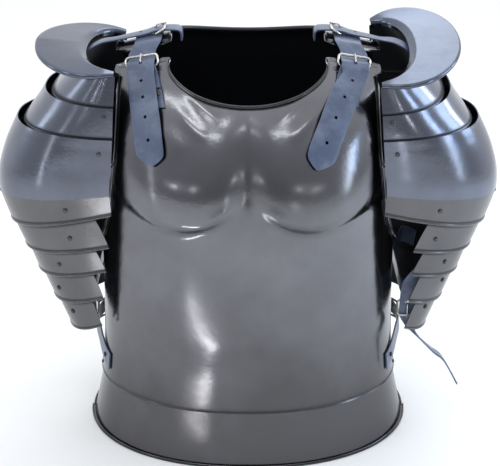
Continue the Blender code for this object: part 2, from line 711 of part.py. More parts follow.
def pauldron_strap(side_name, side):
    """Strap from inside the first lame, over the shoulder tab, buckled at the neck."""
    half = PAULDRON_STRAP_WIDTH / 2
    roll_top = 2 * ROLL_RADIUS + PLATE - LAYER
    over_roll = roll_top + LEATHER_GAP + LEATHER
    low = -LAYER + LEATHER_GAP + LEATHER + FIT + BUCKLE_WIRE
    over_bar = low + BUCKLE_WIRE + BUCKLE_FIT + LEATHER
    bar_x = NECK_HALF_WIDTH + 0.015
    length = 0.013

    def chart(across, along, out):
        return back_point(side, bar_x - along, PAULDRON_STRAP_LEVEL - across / TAB_LEVEL_LENGTH, out)

    rows = []
    centre_y = chart(0, -0.03, 0).y
    inner_lame = -2 * (PLATE + LAME_GAP) - PLATE - LEATHER_GAP
    inner_guard = inner_lame - PLATE - LAME_GAP
    for place, out in ((0.55, inner_lame), (0.32, between(inner_lame, inner_guard, 0.7)),
                       (0.15, inner_guard - FIT)):
        rows.append([arm_surface(side, place, arm_angle(centre_y + x * half, place), out)
                     for x in (-1, 0, 1)])
    outer_x = NECK_HALF_WIDTH + TAB_WIDTH
    on_tab = [[chart(x * half, bar_x - at, out) for x in (-1, 0, 1)]
              for at, out in ((outer_x + 0.005, over_roll), (outer_x - 0.008, over_roll),
                              (bar_x + 0.012, over_roll), (bar_x, over_bar),
                              (bar_x - length, over_roll + FIT), (bar_x - length - 0.006, over_roll),
                              (NECK_HALF_WIDTH - 0.0135, over_roll - 0.001),
                              (NECK_HALF_WIDTH - 0.0175, 0.0), (NECK_HALF_WIDTH - 0.018, -0.010))]
    rows.append([a.lerp(b, 0.5) + Vector((0, 0, 0.0035)) for a, b in zip(rows[-1], on_tab[0])])
    strap = ribbon(side_name + "_pauldron_strap", rows + on_tab, inward=side < 0)
    tongue_hole(strap, chart, over_bar - LEATHER / 2)
    strap_holes(strap, chart, [(0, -0.018, over_roll - LEATHER / 2)])
    buckle(side_name + "_pauldron_buckle", chart, half, length, low,
           over_roll + FIT + BUCKLE_FIT + BUCKLE_WIRE)


def side_strap(side_name, side, breastplate, backplate):
    """Short strap that holds breast and back together at the hip."""
    half = SIDE_STRAP_WIDTH / 2
    flat = LEATHER_GAP + LEATHER

    def chart(across, along, out):
        y = SIDE_BUCKLE_Y - along
        level = SIDE_STRAP_LEVEL + (across + y * 0.25) / TORSO_HEIGHT * 8
        point = torso_surface(side_angle(y), level, out)
        return Vector((point.x * side, point.y, point.z))

    bulge = SIDE_STRAP_BULGE
    back_flat = flat - LAYER + 3 * FIT
    crest = 0.97 * bulge
    stations = ((-0.062, flat), (-0.045, flat), (-0.028, flat + 0.001), (-0.008, 0.45 * bulge),
                (0.012, 0.85 * bulge), (SIDE_BUCKLE_Y - 0.014, bulge), (SIDE_BUCKLE_Y, crest),
                (0.0475, 0.88 * bulge),
                (0.058, 0.45 * bulge), (0.066, back_flat + 0.0006), (0.079, back_flat), (0.088, back_flat))
    rows = [[chart(x * half, SIDE_BUCKLE_Y - y, out) for x in (-1, 1)] for y, out in stations]
    strap = ribbon(side_name + "_side_strap", rows, inward=side > 0)
    tongue_hole(strap, chart, crest - LEATHER / 2, 0.0002)
    strap_holes(strap, chart, [(0, SIDE_HOLE_ALONG, SIDE_HOLE_SHARE * bulge)])
    low = crest - LEATHER - 2 * BUCKLE_FIT - BUCKLE_WIRE
    buckle(side_name + "_side_buckle", chart, half, 0.013, low, bulge + BUCKLE_FIT + BUCKLE_WIRE)
    for label, y, plate in (("front", -0.048, breastplate), ("back", 0.079, backplate)):
        point = chart(0, SIDE_BUCKLE_Y - y, 0)
        normal = (chart(0, SIDE_BUCKLE_Y - y, PROBE) - point).normalized()
        rivet(f"{side_name}_side_rivet_{label}", [strap, plate], point, normal)


def inside_lame(side, obj, place, degrees, depth):
    """Point at a depth under the inner face of a lame, and the way out of it."""
    angle = math.radians(degrees)
    point = arm_surface(side, place, angle)
    normal = (arm_surface(side, place, angle, 0.01) - point).normalized()
    now = obj.evaluated_get(bpy.context.evaluated_depsgraph_get())
    hit, on_face, _, _ = now.ray_cast(point + normal * 0.01, -normal, distance=0.04)
    if not hit:
        raise ValueError(f"no face of {obj.name} at {place} {degrees}")
    return on_face - normal * (PLATE + depth)


def arm_strap(side_name, side, lames):
    """Strap round the open side of the arm, with its tail hanging from a buckle."""
    half = ARM_STRAP_WIDTH / 2
    low = -LEATHER - BUCKLE_FIT - BUCKLE_WIRE
    length = 0.018

    inner = TORSO_HALF_WIDTH + ARM_STRAP_RIB_GAP

    def chart(across, along, out):
        """From the bar of the buckle, which lies inside the front of lames 6 and 7."""
        sizes = (ARM_REACH, ARM_HALF_DEPTH, ARM_HEIGHT)
        x, y, z = (share * size for share, size in zip(ARM_STRAP_BAR, sizes))
        return Vector((side * (ARM_INNER + x + across), ARM_MIDDLE + y - out, z - along))

    start = -63.5 if side > 0 else -73
    rows = [[inside_lame(side, lames[4], place, start + x * 5.8, LEATHER_GAP + extra) for x in (1, -1)]
            for place, extra in ((6.34, 0.0002), (6.60, 0.0030))]
    hanging = ((0.004, -0.038, 0.0125), (0.001, -0.022, 0.0040), (0.0, 0.0, 0.0), (0.0, length, 0.0))
    for across, along, out in hanging:
        rows.append([chart(across + x * half, along, out) for x in (1, -1)])
    if side < 0:
        tail = ((-0.003, ARM_STRAP_TAIL[side], -0.003, 0.5, 10),)
    else:
        tail = ((0.003, 0.034, -0.009, 0.9, 30), (0.010, 0.051, -0.013, 0.85, 60),
                (0.036, 0.078, -0.013, 0.85, 80), (0.052, 0.092, -0.013, 0.85, 82),
                (0.073, ARM_STRAP_TAIL[side], -0.013, 0.3, 82))
    for across, along, out, share, degrees in tail:
        c, n = math.cos(math.radians(degrees)), math.sin(math.radians(degrees))
        rows.append([chart(across + x * half * share * c, along, out + x * half * share * n)
                     for x in (1, -1)])
    strap = ribbon(side_name + "_arm_strap", rows, inward=side < 0)

    top = -0.020
    closing = [[chart(across, top - z * half * 0.9, out) for z in (-1, 1)]
               for across, out in ((-0.004, 0.0028), (-0.0080, -0.0010), (0, -0.016))]
    for point in closing[-1]:
        point.x = side * inner
    middle = [Vector((side * inner, ARM_MIDDLE, point.z)) for point in closing[-1]]
    opposite = [[Vector((point.x, 2 * ARM_MIDDLE - point.y, point.z)) for point in row]
                for row in closing[:0:-1]]
    back = [[inside_lame(side, lames[5], 7.25 - z * 0.28, degrees, LEATHER_GAP + extra) for z in (-1, 1)]
            for degrees, extra in ((72, 0.0010), (58, 0.0004))]
    loop = ribbon(side_name + "_arm_loop", closing + [middle] + opposite + back, inward=side < 0)
    PARTS.objects.unlink(loop)
    CUTTERS.objects.link(loop)
    loop.hide_render = True
    loop.display_type = "WIRE"
    combine(strap, loop, "UNION")
    buckle(side_name + "_arm_buckle", chart, half, length, low, BUCKLE_FIT + BUCKLE_WIRE + FIT)
    tongue_hole(strap, chart, -LEATHER / 2)


def lame_leather(side_name, side, lames):
    """Inner leather that hangs lames 4 to 7 from the fold lame, with its rivets."""
    half = 5.5
    first, second = (2, 3) if side < 0 else (4, 5)
    rivets = [(row[1], row[first], row[second]) for row in LAME_RIVETS]
    hung = rivets[2:]
    spans = ((4.30, 4.56), (4.63, 5.56), (5.63, 6.56), (6.63, 7.56), (7.63, hung[-1][1] + LEATHER_END))

    def bearing(place):
        for (_, a, left), (_, b, right) in zip(hung, hung[1:]):
            if place <= b:
                return between(left, right, min(max((place - a) / (b - a), 0), 1))
        return hung[-1][2]

    rows = []
    for index, (top, bottom) in enumerate(spans):
        on_lame = lames[2 + index]
        _, upper_edge, _, _, _, upper_turn, _ = LAMES[2 + index]
        furthest = upper_turn * (FRONT_TURN[side] if index else 1.0) - half - 2
        for place in (top, (top + bottom) / 2, bottom)[::1 if index else 2]:
            degrees = max(bearing(place), -furthest)
            shown = max(place, upper_edge + 0.02)
            row = [inside_lame(side, on_lame, shown, degrees + x * half, LEATHER_GAP) for x in (-1, 1)]
            angle = math.radians(degrees)
            shift = arm_surface(side, place, angle) - arm_surface(side, shown, angle)
            rows.append([point + shift for point in row])
    leather = ribbon(side_name + "_lame_leather", rows, inward=side > 0)
    for (label, *_), (index, place, degrees) in zip(LAME_RIVETS, rivets):
        angle = math.radians(degrees)
        point = arm_surface(side, place, angle, -LAMES[index][3] * (PLATE + LAME_GAP))
        normal = (arm_surface(side, place, angle, 0.01) - arm_surface(side, place, angle, 0)).normalized()
        held = [lames[index], lames[index - 1] if index < 3 and place < 4 else leather]
        rivet(f"{side_name}_{label}", held, point, normal)


clear_scene()
PARTS = new_collection("steel_breastplate")
CUTTERS = new_collection("cutters")
ROOT = bpy.data.objects.new("armour_root", None)
PARTS.objects.link(ROOT)

BREAST = torso_plate("breastplate", False, side_angle(SIDE_LAP * 0.6),
                     TAB_END_LEVEL - NECK_DEPTH_FRONT, TAB_END_LEVEL, 0.0)
BACK = torso_plate("backplate", True, math.pi - side_angle(-SIDE_LAP * 0.4),
                   BACK_NECK_LEVEL, BACK_TAB_LEVEL, -LAYER)
SPLIT = side_angle(-SIDE_LAP * 0.5)
skirt("skirt_front", 0.0, SPLIT, -LAYER)
skirt("skirt_back", SPLIT + 0.004, math.pi, -2 * LAYER)
for side_name, side in (("left", -1), ("right", 1)):
    neck_guard(side_name + "_neck_guard", side)
    lames = [lame(side_name + "_" + label, side, *shape) for label, *shape in LAMES]
    lame_leather(side_name, side, lames)
    shoulder_straps(side_name, side, BREAST, BACK)
    pauldron_strap(side_name, side)
    side_strap(side_name, side, BREAST, BACK)
    arm_strap(side_name, side, lames)

bpy.context.view_layer.update()
GRAPH = bpy.context.evaluated_depsgraph_get()
CORNERS = [Vector(corner) for obj in PARTS.objects if obj.type == "MESH"
           for corner in [obj.matrix_world @ vert.co for vert in obj.evaluated_get(GRAPH).data.vertices]]
LOW = Vector([min(corner[axis] for corner in CORNERS) for axis in range(3)])
HIGH = Vector([max(corner[axis] for corner in CORNERS) for axis in range(3)])
ROOT.location = (-(LOW.x + HIGH.x) / 2, -(LOW.y + HIGH.y) / 2, -LOW.z)
bpy.context.view_layer.update()
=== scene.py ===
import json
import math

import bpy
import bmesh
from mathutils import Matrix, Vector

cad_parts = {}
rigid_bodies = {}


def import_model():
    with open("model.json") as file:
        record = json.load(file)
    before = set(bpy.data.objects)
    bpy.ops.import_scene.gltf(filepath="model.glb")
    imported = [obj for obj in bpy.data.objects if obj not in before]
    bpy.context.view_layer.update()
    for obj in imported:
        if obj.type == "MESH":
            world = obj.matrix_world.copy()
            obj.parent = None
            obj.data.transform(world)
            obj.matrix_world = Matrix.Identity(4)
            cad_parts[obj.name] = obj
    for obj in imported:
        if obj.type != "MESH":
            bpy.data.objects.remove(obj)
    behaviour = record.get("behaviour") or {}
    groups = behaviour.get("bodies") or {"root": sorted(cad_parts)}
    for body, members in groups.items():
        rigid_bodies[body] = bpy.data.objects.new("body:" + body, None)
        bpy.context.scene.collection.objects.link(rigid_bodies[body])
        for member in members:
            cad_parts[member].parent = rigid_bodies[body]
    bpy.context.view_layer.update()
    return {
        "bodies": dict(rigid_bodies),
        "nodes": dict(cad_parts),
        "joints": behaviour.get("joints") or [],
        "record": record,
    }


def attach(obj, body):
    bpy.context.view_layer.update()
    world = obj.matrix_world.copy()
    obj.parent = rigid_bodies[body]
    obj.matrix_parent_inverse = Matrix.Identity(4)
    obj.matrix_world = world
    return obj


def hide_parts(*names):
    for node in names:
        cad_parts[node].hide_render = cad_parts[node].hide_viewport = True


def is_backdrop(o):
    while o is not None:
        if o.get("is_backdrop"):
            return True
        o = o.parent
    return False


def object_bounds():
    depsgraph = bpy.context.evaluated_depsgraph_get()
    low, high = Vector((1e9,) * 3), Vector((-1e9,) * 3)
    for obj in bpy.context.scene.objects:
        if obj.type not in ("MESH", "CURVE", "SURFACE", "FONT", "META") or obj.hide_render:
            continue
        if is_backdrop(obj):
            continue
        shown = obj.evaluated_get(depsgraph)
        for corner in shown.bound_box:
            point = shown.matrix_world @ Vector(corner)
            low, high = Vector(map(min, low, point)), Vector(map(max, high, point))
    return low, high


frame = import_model()

# %% [markdown]
# # A steel breastplate with shoulder lames
# The armour is sheet steel bent over a trunk and two arms, held together by leather.
# A sheet is a surface with a thickness, so each plate is made as a grid of points on a
# curved form, and a Solidify modifier gives the grid its wall. Sculpting or subdivision
# modelling would also work, but a formula keeps every lapped plate the same distance
# from its neighbour, and the same formula places the rivets and the straps.

PLATE = 0.0012          # steel sheet
LAYER = 0.0019          # from one lapped plate to the next
LEATHER = 0.0020
ON_STEEL = 0.0028       # outer face of a strap that lies on steel
ON_BACKPLATE = 0.0009   # the same, measured from the breastplate's layer
FIT = 0.0003
ROLL_RADIUS = 0.0018    # inside of a rolled edge
ROLL_TURN = math.radians(190)
SHIFT = Vector((0, 0.010435, 0))   # the form's middle plane to the middle of the footprint

# %% [markdown]
# ## The trunk as a table of levels
# An armourer hammers the plates over stakes, checking the profile from the side and the
# width from the front. The same two drawings become a table here: each row is a level
# with its height, width and depths. A smooth curve through each column joins the rows.
# A spline through a column is easier to correct than a mesh, since one number moves one
# place of the outline.

# %% The trunk's table
TRUNK_HEIGHT, TRUNK_HALF, TRUNK_DEPTH, SQUARENESS = 0.430, 0.190, 0.152, 2.2
SKIRT_HEIGHT, SKIRT_FLARE, SKIRT_TUCK = 0.071, 0.015, 0.012
NECK_HALF, TAB_WIDTH, SHOULDER_SLOPE = 0.099, 0.058, 0.20
# columns: front height, back height, half width, front depth, back depth
LEVELS = (
    (0.000, 0.000, 1.036, 0.965, 0.840), (0.125, 0.125, 1.010, 0.935, 0.790),
    (0.250, 0.250, 1.000, 0.955, 0.780), (0.375, 0.375, 0.995, 0.975, 0.800),
    (0.500, 0.500, 0.992, 0.990, 0.830), (0.620, 0.620, 0.990, 1.000, 0.850),
    (0.740, 0.750, 0.985, 0.960, 0.840), (0.855, 0.885, 0.980, 0.820, 0.760),
    (0.940, 0.990, 0.980, 0.590, 0.590), (0.992, 1.040, 0.980, 0.320, 0.340),
    (1.015, 1.050, 0.980, 0.060, 0.040), (1.020, 1.020, 0.980, -0.200, -0.260),
)


def between(a, b, share):
    return a + (b - a) * share


def ease(share):
    share = min(max(share, 0.0), 1.0)
    return share * share * (3 - 2 * share)


def bell(value, width):
    return math.exp(-(value / width) ** 2)


def table_value(table, column, place):
    """A smooth curve through one column of a table."""
    last = len(table) - 1
    place = min(max(place, 0.0), float(last))
    row = min(int(place), last - 1)
    t = place - row
    a, b, c, d = (table[min(max(row + k, 0), last)][column] for k in (-1, 0, 1, 2))
    return b + 0.5 * t * (c - a + t * (2 * a - 5 * b + 4 * c - d + t * (3 * (b - c) + d - a)))


def arch(angle, power):
    """Across and along shares of a rounded box, at an angle from its middle."""
    s, c = math.sin(angle), math.cos(angle)
    r = (abs(s) ** power + abs(c) ** power) ** (-1 / power)
    return s * r, c * r


print("trunk levels", len(LEVELS))

# %% [markdown]
# ## Hammered muscles
# The chest of this plate is raised from behind into two muscles with a crease under
# each, a shallow groove between them and soft folds that fan out from the neckline.
# A displacement texture could do this, but bump alone would leave the outline flat.
# So the muscles are added to the form itself, as a few bell curves.

# %% Relief of the chest
MUSCLE_SIDE, MUSCLE_HEIGHT = 0.085, 0.011
CREASE_LEVEL, CREASE_RISE = 4.63, 0.72
LEVEL_LENGTH = 0.050   # length on the chest of one level
# Soft folds of the upper chest, in columns: x and level at one end, x and level at the
# other, width and height
CHEST_FOLDS = (
    (0.080, 8.15, 0.030, 7.15, 0.007, 0.0016), (0.090, 7.60, 0.045, 6.72, 0.008, 0.0014),
    (0.118, 7.10, 0.070, 6.45, 0.010, 0.0010), (0.020, 5.30, 0.050, 4.92, 0.006, 0.0008),
)


def fold_height(x, level, fold):
    """Height of one long soft fold at a point of the chest."""
    x0, level0, x1, level1, width, height = fold
    along = Vector((x1 - x0, (level1 - level0) * LEVEL_LENGTH))
    away = Vector((x - x0, (level - level0) * LEVEL_LENGTH))
    share = away.dot(along) / along.length_squared
    across = (away - along * share).length
    return height * bell(across, width) * ease(share * 3) * ease((1 - share) * 3)


def chest_relief(x, level):
    side = abs(x)
    crease = CREASE_LEVEL + CREASE_RISE * ((side - MUSCLE_SIDE) / MUSCLE_SIDE) ** 2
    across = math.exp(-((side - MUSCLE_SIDE) / (0.85 * MUSCLE_SIDE)) ** 4)
    above = ease((level - crease + 0.16) / 0.42)
    fade = 1 - ease((level - crease - 0.5) / 2.2)
    muscle = MUSCLE_HEIGHT * across * above * fade
    groove = 0.30 * MUSCLE_HEIGHT * bell(side, 0.22 * MUSCLE_SIDE) * above * fade
    belly = 0.005 * bell(side, MUSCLE_SIDE) * ease(level / 2) * ease((5 - level) / 3)
    folds = sum(fold_height(side, level, fold) for fold in CHEST_FOLDS) if 4 < level < 9 else 0
    return muscle - groove + belly + folds


def trunk_form(angle, level):
    """Point of the trunk; angle 0 is the front, a half turn the back."""
    across, along = arch(angle, SQUARENESS)
    x = TRUNK_HALF * table_value(LEVELS, 2, level) * across
    front = ease((along + 0.06) / 0.12)
    y = -TRUNK_DEPTH * table_value(LEVELS, 3 if along > 0 else 4, level) * along
    height = between(table_value(LEVELS, 1, level), table_value(LEVELS, 0, level), front)
    slope = SHOULDER_SLOPE * ease((level - 6) / 3) * max(abs(x) - NECK_HALF, 0)
    y -= chest_relief(x, level) * ease(along * 2)
    return Vector((x, y, SKIRT_HEIGHT + TRUNK_HEIGHT * height - slope)) + SHIFT


def trunk_normal(angle, level, step=0.004):
    around = trunk_form(angle + step, level) - trunk_form(angle - step, level)
    upward = trunk_form(angle, level + step) - trunk_form(angle, level - step)
    return around.cross(upward).normalized()


def trunk_surface(angle, level, outwards=0.0):
    return trunk_form(angle, level) + trunk_normal(angle, level) * outwards


def angle_at(x, level):
    """Angle at which the front of the trunk is x from the middle."""
    half = TRUNK_HALF * table_value(LEVELS, 2, level)
    share = min(abs(x) / half, 0.9999) ** SQUARENESS
    return math.copysign(math.atan((share / (1 - share)) ** (1 / SQUARENESS)), x)


def side_angle(y, level=2.0):
    share = abs(y) / (TRUNK_DEPTH * table_value(LEVELS, 3 if y < 0 else 4, level))
    bend = math.atan(share / (1 - share ** SQUARENESS) ** (1 / SQUARENESS))
    return math.pi / 2 + math.copysign(bend, y)


print("chest stands at", [round(v, 3) for v in trunk_form(0.4, 6)])

# %% [markdown]
# ## Polished, darkened steel
# The steel was polished and then heated or oiled dark, so it mirrors the room in grey
# and blue, with faint cloudy marks of the polishing wheel. One node group puts out the
# colour, the roughness and a fine height for every steel piece, and each material gives
# the group its own values. A photo texture would look right from one side only; noise
# on Object coordinates holds from every side. The group also paints shade: each plate
# stores a "crease" value beside its beads, laps and hems, which the group darkens as
# painted shade, and the lowest plates turn darker as painted shade for the shaded floor
# they mirror.

# %% A small helper for node trees, and the group of steel marks and painted shade


def feed(tree, value, socket):
    """Links a socket to another one, or sets it to a plain value."""
    if hasattr(value, "is_output"):
        tree.links.new(value, socket)
    else:
        socket.default_value = value


def link_pairs(tree, *pairs):
    for source, target in pairs:
        tree.links.new(source, target)


def shader_group(name, inputs, outputs):
    """A node group with (name, default) inputs and (name, type) outputs."""
    group = bpy.data.node_groups.new(name, "ShaderNodeTree")
    for label, value in inputs:
        kind = "NodeSocketColor" if isinstance(value, tuple) else "NodeSocketFloat"
        group.interface.new_socket(label, in_out="INPUT", socket_type=kind).default_value = value
    for label, kind in outputs:
        group.interface.new_socket(label, in_out="OUTPUT", socket_type=kind)
    return group, group.nodes.new("NodeGroupInput").outputs, group.nodes.new("NodeGroupOutput").inputs


def math_node(tree, operation, *values, clamp=False):
    node = tree.nodes.new("ShaderNodeMath")
    node.operation = operation
    node.use_clamp = clamp
    for socket, value in zip(node.inputs, values):
        feed(tree, value, socket)
    return node.outputs[0]


def noise_node(tree, place, scale, detail=3.0, roughness=0.5):
    node = tree.nodes.new("ShaderNodeTexNoise")
    node.inputs["Detail"].default_value = detail
    node.inputs["Roughness"].default_value = roughness
    tree.links.new(place, node.inputs["Vector"])
    feed(tree, scale, node.inputs["Scale"])
    return node.outputs["Fac"]


def colour_mix(tree, share, first, second):
    node = tree.nodes.new("ShaderNodeMix")
    node.data_type = "RGBA"
    for index, value in ((0, share), (6, first), (7, second)):    # the sockets for colours
        feed(tree, value, node.inputs[index])
    return node.outputs[2]


steel_marks_and_shade, given, result = shader_group(
    "steel marks and painted shade",
    (("Steel", (0.185, 0.188, 0.205, 1)), ("Tarnish and shade", (0.105, 0.103, 0.108, 1)), ("Cloud scale", 9.0),
     ("Tarnish amount", 0.5), ("Low painted shade", 0.9), ("Roughness", 0.13), ("Roughness change", 0.10)),
    (("Colour", "NodeSocketColor"), ("Roughness", "NodeSocketFloat"), ("Height", "NodeSocketFloat")))
place = steel_marks_and_shade.nodes.new("ShaderNodeTexCoord").outputs["Object"]
cloud = noise_node(steel_marks_and_shade, place, given["Cloud scale"], 5.0, 0.6)
fine = noise_node(steel_marks_and_shade, place, 160.0, 2.0)
# Painted shade: the stored "crease" value turns the colour towards near-black, and the surface a little
# rougher, beside beads, laps and hems.
shade_attribute = steel_marks_and_shade.nodes.new("ShaderNodeAttribute")
shade_attribute.attribute_name = "crease"
painted_shade = math_node(steel_marks_and_shade, "MULTIPLY", shade_attribute.outputs["Fac"], 0.92, clamp=True)
spread = math_node(steel_marks_and_shade, "MULTIPLY_ADD", cloud, 3.0, -1.05, clamp=True)
# Painted shade: below about 0.23 m the colour turns towards the tarnish colour, fully near the floor,
# standing in for the shaded floor that the low plates mirror.
height = steel_marks_and_shade.nodes.new("ShaderNodeSeparateXYZ")
steel_marks_and_shade.links.new(place, height.inputs[0])
low = math_node(steel_marks_and_shade, "MULTIPLY_ADD", height.outputs["Z"], -5.0, 1.15, clamp=True)
tarnish_and_shade = math_node(steel_marks_and_shade, "MULTIPLY_ADD", spread, given["Tarnish amount"],
                   math_node(steel_marks_and_shade, "MULTIPLY", low, given["Low painted shade"]), clamp=True)
rough = math_node(steel_marks_and_shade, "MULTIPLY_ADD", spread, given["Roughness change"], given["Roughness"])
link_pairs(steel_marks_and_shade,
           (colour_mix(steel_marks_and_shade, painted_shade, colour_mix(steel_marks_and_shade, tarnish_and_shade, given["Steel"], given["Tarnish and shade"]),
                       (0.004, 0.004, 0.005, 1)), result["Colour"]),
           (math_node(steel_marks_and_shade, "MULTIPLY_ADD", fine, 0.03,
                      math_node(steel_marks_and_shade, "MULTIPLY_ADD", painted_shade, 0.4, rough)), result["Roughness"]),
           (math_node(steel_marks_and_shade, "MULTIPLY_ADD", cloud, 0.6,
                      math_node(steel_marks_and_shade, "MULTIPLY", fine, 0.10)), result["Height"]))
print("steel marks and painted shade group has", len(steel_marks_and_shade.nodes), "nodes")

# %% Materials of the steel


def plain_material(name, colour, roughness, metallic):
    made = bpy.data.materials.new(name)
    made.use_nodes = True
    shader = made.node_tree.nodes["Principled BSDF"]
    shader.inputs["Base Color"].default_value = colour
    shader.inputs["Roughness"].default_value = roughness
    shader.inputs["Metallic"].default_value = metallic
    return made


def marked_material(name, group, values, metallic, bump, distance):
    """A Principled material whose colour, roughness and bump come from a group."""
    made = plain_material(name, (0.5, 0.5, 0.5, 1), 0.3, metallic)
    tree = made.node_tree
    shader = tree.nodes["Principled BSDF"]
    marks = tree.nodes.new("ShaderNodeGroup")
    marks.node_tree = group
    for label, value in values.items():
        marks.inputs[label].default_value = value
    bumps = tree.nodes.new("ShaderNodeBump")
    bumps.inputs["Strength"].default_value = bump
    bumps.inputs["Distance"].default_value = distance
    link_pairs(tree, (marks.outputs["Colour"], shader.inputs["Base Color"]),
               (marks.outputs["Roughness"], shader.inputs["Roughness"]),
               (marks.outputs["Height"], bumps.inputs["Height"]),
               (bumps.outputs["Normal"], shader.inputs["Normal"]))
    return made


PLATE_STEEL = marked_material("darkened plate steel", steel_marks_and_shade, {}, 1.0, 0.25, 0.004)
# The blue of the upper lames is partly the blued steel and partly painted reflection of the bluish light
# above them; the lower lames, and the third lame below its fold, get the grey copy.
LAME_STEEL = marked_material(
    "blued lame steel with painted blue light", steel_marks_and_shade,
    {"Steel": (0.165, 0.182, 0.225, 1), "Tarnish and shade": (0.115, 0.12, 0.145, 1),
     "Cloud scale": 14.0}, 1.0, 0.25, 0.003)
# Painted shade: the neck guards get a darker copy of the lame steel, so that their upturned brims mirror less
# of the bright room.
GUARD_STEEL = marked_material(
    "blued guard steel with painted shade", steel_marks_and_shade,
    {"Steel": (0.112, 0.130, 0.172, 1), "Tarnish and shade": (0.080, 0.088, 0.112, 1),
     "Cloud scale": 14.0}, 1.0, 0.25, 0.003)
LOWER_STEEL = marked_material(
    "grey lame steel", steel_marks_and_shade,
    {"Steel": (0.150, 0.150, 0.157, 1), "Tarnish and shade": (0.105, 0.10, 0.10, 1), "Cloud scale": 14.0,
     "Roughness": 0.20, "Low painted shade": 0.0}, 1.0, 0.25, 0.003)
BUCKLE_METAL = marked_material(
    "nickelled buckle", steel_marks_and_shade,
    {"Steel": (0.72, 0.70, 0.66, 1), "Tarnish and shade": (0.40, 0.38, 0.35, 1), "Cloud scale": 60.0,
     "Roughness": 0.14}, 1.0, 0.1, 0.001)
RIVET_STEEL = marked_material(
    "rivet steel", steel_marks_and_shade,
    {"Steel": (0.10, 0.10, 0.11, 1), "Tarnish and shade": (0.04, 0.04, 0.04, 1), "Cloud scale": 120.0,
     "Roughness": 0.22}, 1.0, 0.2, 0.001)
# Painted shade: the inner walls get a near-black material for the dark hollow inside the plates.
INSIDE_SHADE = plain_material("painted shade inside", (0.006, 0.007, 0.010, 1), 0.42, 0.0)
print("steel materials made")

# %% [markdown]
# ## Sheets
# A plate's visible face is a grid of points; the wall grows inwards by the sheet's
# thickness. The inside of the plates is shown near-black, painted shade for their dark
# hollow, so Solidify gives the inner wall the second material. The result is turned into
# a plain mesh at once, since a finished piece should hold its own points.

# %% The sheet helper
PIECES = []


def finish_piece(name, mesh, materials, smooth=40, replaced=None):
    """Makes a finished piece at the origin and lets it replace its solid or solids."""
    obj = bpy.data.objects.new(name, mesh)
    bpy.context.scene.collection.objects.link(obj)
    if materials:
        mesh.materials.clear()
        for finish in materials:
            mesh.materials.append(finish)
    mesh.shade_smooth()
    mesh.set_sharp_from_angle(angle=math.radians(smooth))
    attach(obj, "root")
    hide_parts(*(replaced or [name]))
    PIECES.append(obj)
    return obj


def baked(mesh, *modifiers):
    """The mesh as it looks with (type, settings) modifiers."""
    carrier = bpy.data.objects.new("carrier", mesh)
    bpy.context.scene.collection.objects.link(carrier)
    for kind, settings in modifiers:
        step = carrier.modifiers.new(kind, kind)
        for key, value in settings.items():
            setattr(step, key, value)
    bpy.context.view_layer.update()
    done = bpy.data.meshes.new_from_object(carrier.evaluated_get(bpy.context.evaluated_depsgraph_get()))
    bpy.data.objects.remove(carrier, do_unlink=True)
    return done


def grid_mesh(name, point, columns, rows, inward=False):
    """Grid of points from point(across, up), both as whole steps."""
    across, up = columns + 1, rows + 1
    points = [point(column, row) for row in range(up) for column in range(across)]
    faces = [(row * across + column, row * across + column + 1, (row + 1) * across + column + 1,
              (row + 1) * across + column) for row in range(rows) for column in range(columns)]
    if inward:
        faces = [face[::-1] for face in faces]
    mesh = bpy.data.meshes.new(name)
    mesh.from_pydata(points, [], faces)
    return mesh


def sheet(name, point, columns, rows, finish=None, inside=None, inward=False, mirror=False,
          smooth=40, crease=None, lower=None):
    """Sheet on a grid; lower gives the first rows another material, as (rows, material), and crease gives
    each point its share of painted shade.
    """
    mesh = grid_mesh(name, point, columns, rows, inward)
    # Painted shade: each point stores how much the steel group darkens it.
    if crease:
        shade_values = mesh.attributes.new("crease", "FLOAT", "POINT")
        for k, entry in enumerate(shade_values.data):
            entry.value = crease(k % (columns + 1), k // (columns + 1))
    for each in (finish or PLATE_STEEL, inside or INSIDE_SHADE):
        mesh.materials.append(each)
    if lower:
        band_rows, band_finish = lower
        for each in (band_finish, inside or INSIDE_SHADE):
            mesh.materials.append(each)
        for face in mesh.polygons[:band_rows * columns]:
            face.material_index = 2
    steps = [("SOLIDIFY", dict(thickness=PLATE, offset=-1, use_quality_normals=True,
                               material_offset=1, material_offset_rim=0))]
    if mirror:
        steps.insert(0, ("MIRROR", dict(use_clip=True, merge_threshold=0.0001)))
    return finish_piece(name, baked(mesh, *steps), (), smooth=smooth)


# %% [markdown]
# ## Breastplate and backplate
# Both plates run from the hem to an edge that follows the neckline, the shoulder tab
# and the armhole. The neckline and the armholes are rolled outwards over a wire, which
# stiffens the sheet and catches the light as a bright line. A Bevel along the border
# could round it, but it would not stand out from the sheet. Here the border's own
# direction is found point by point, so the roll stays square to it round the corners.
# Only one half is computed; a Mirror modifier adds the other.

# %% The upper edge and the rolled rim
NECK_STEPS, TAB_STEPS, ARM_STEPS = 6, 2, 7
EDGE_STEPS = NECK_STEPS + TAB_STEPS + ARM_STEPS
ARMPIT_LEVEL = 3.5
FINE = 8               # grid columns for each step of the edge
PLATE_ROWS, HEM_ROWS, ROLL_ROWS = 110, 6, 8
HEM_LIP = 0.0011


def upper_edge(place, neck_level, tab_level, end_angle):
    """Angle and level of the upper edge; place counts steps from the centre."""
    if place <= NECK_STEPS:
        turn = (1 - place / NECK_STEPS) * math.pi / 2
        x = NECK_HALF * max(math.cos(turn), 0) ** 0.95
        level = between(neck_level, tab_level, 1 - math.sin(turn) ** 0.85)
        return angle_at(x, level), level
    if place <= NECK_STEPS + TAB_STEPS:
        x = NECK_HALF + TAB_WIDTH * (place - NECK_STEPS) / TAB_STEPS
        return angle_at(x, tab_level), tab_level
    share = (place - NECK_STEPS - TAB_STEPS) / ARM_STEPS
    across, along = arch(share * math.pi / 2, 3.2)
    start = angle_at(NECK_HALF + TAB_WIDTH, tab_level)
    return between(end_angle, start, max(along, 0)), between(tab_level, ARMPIT_LEVEL, across)


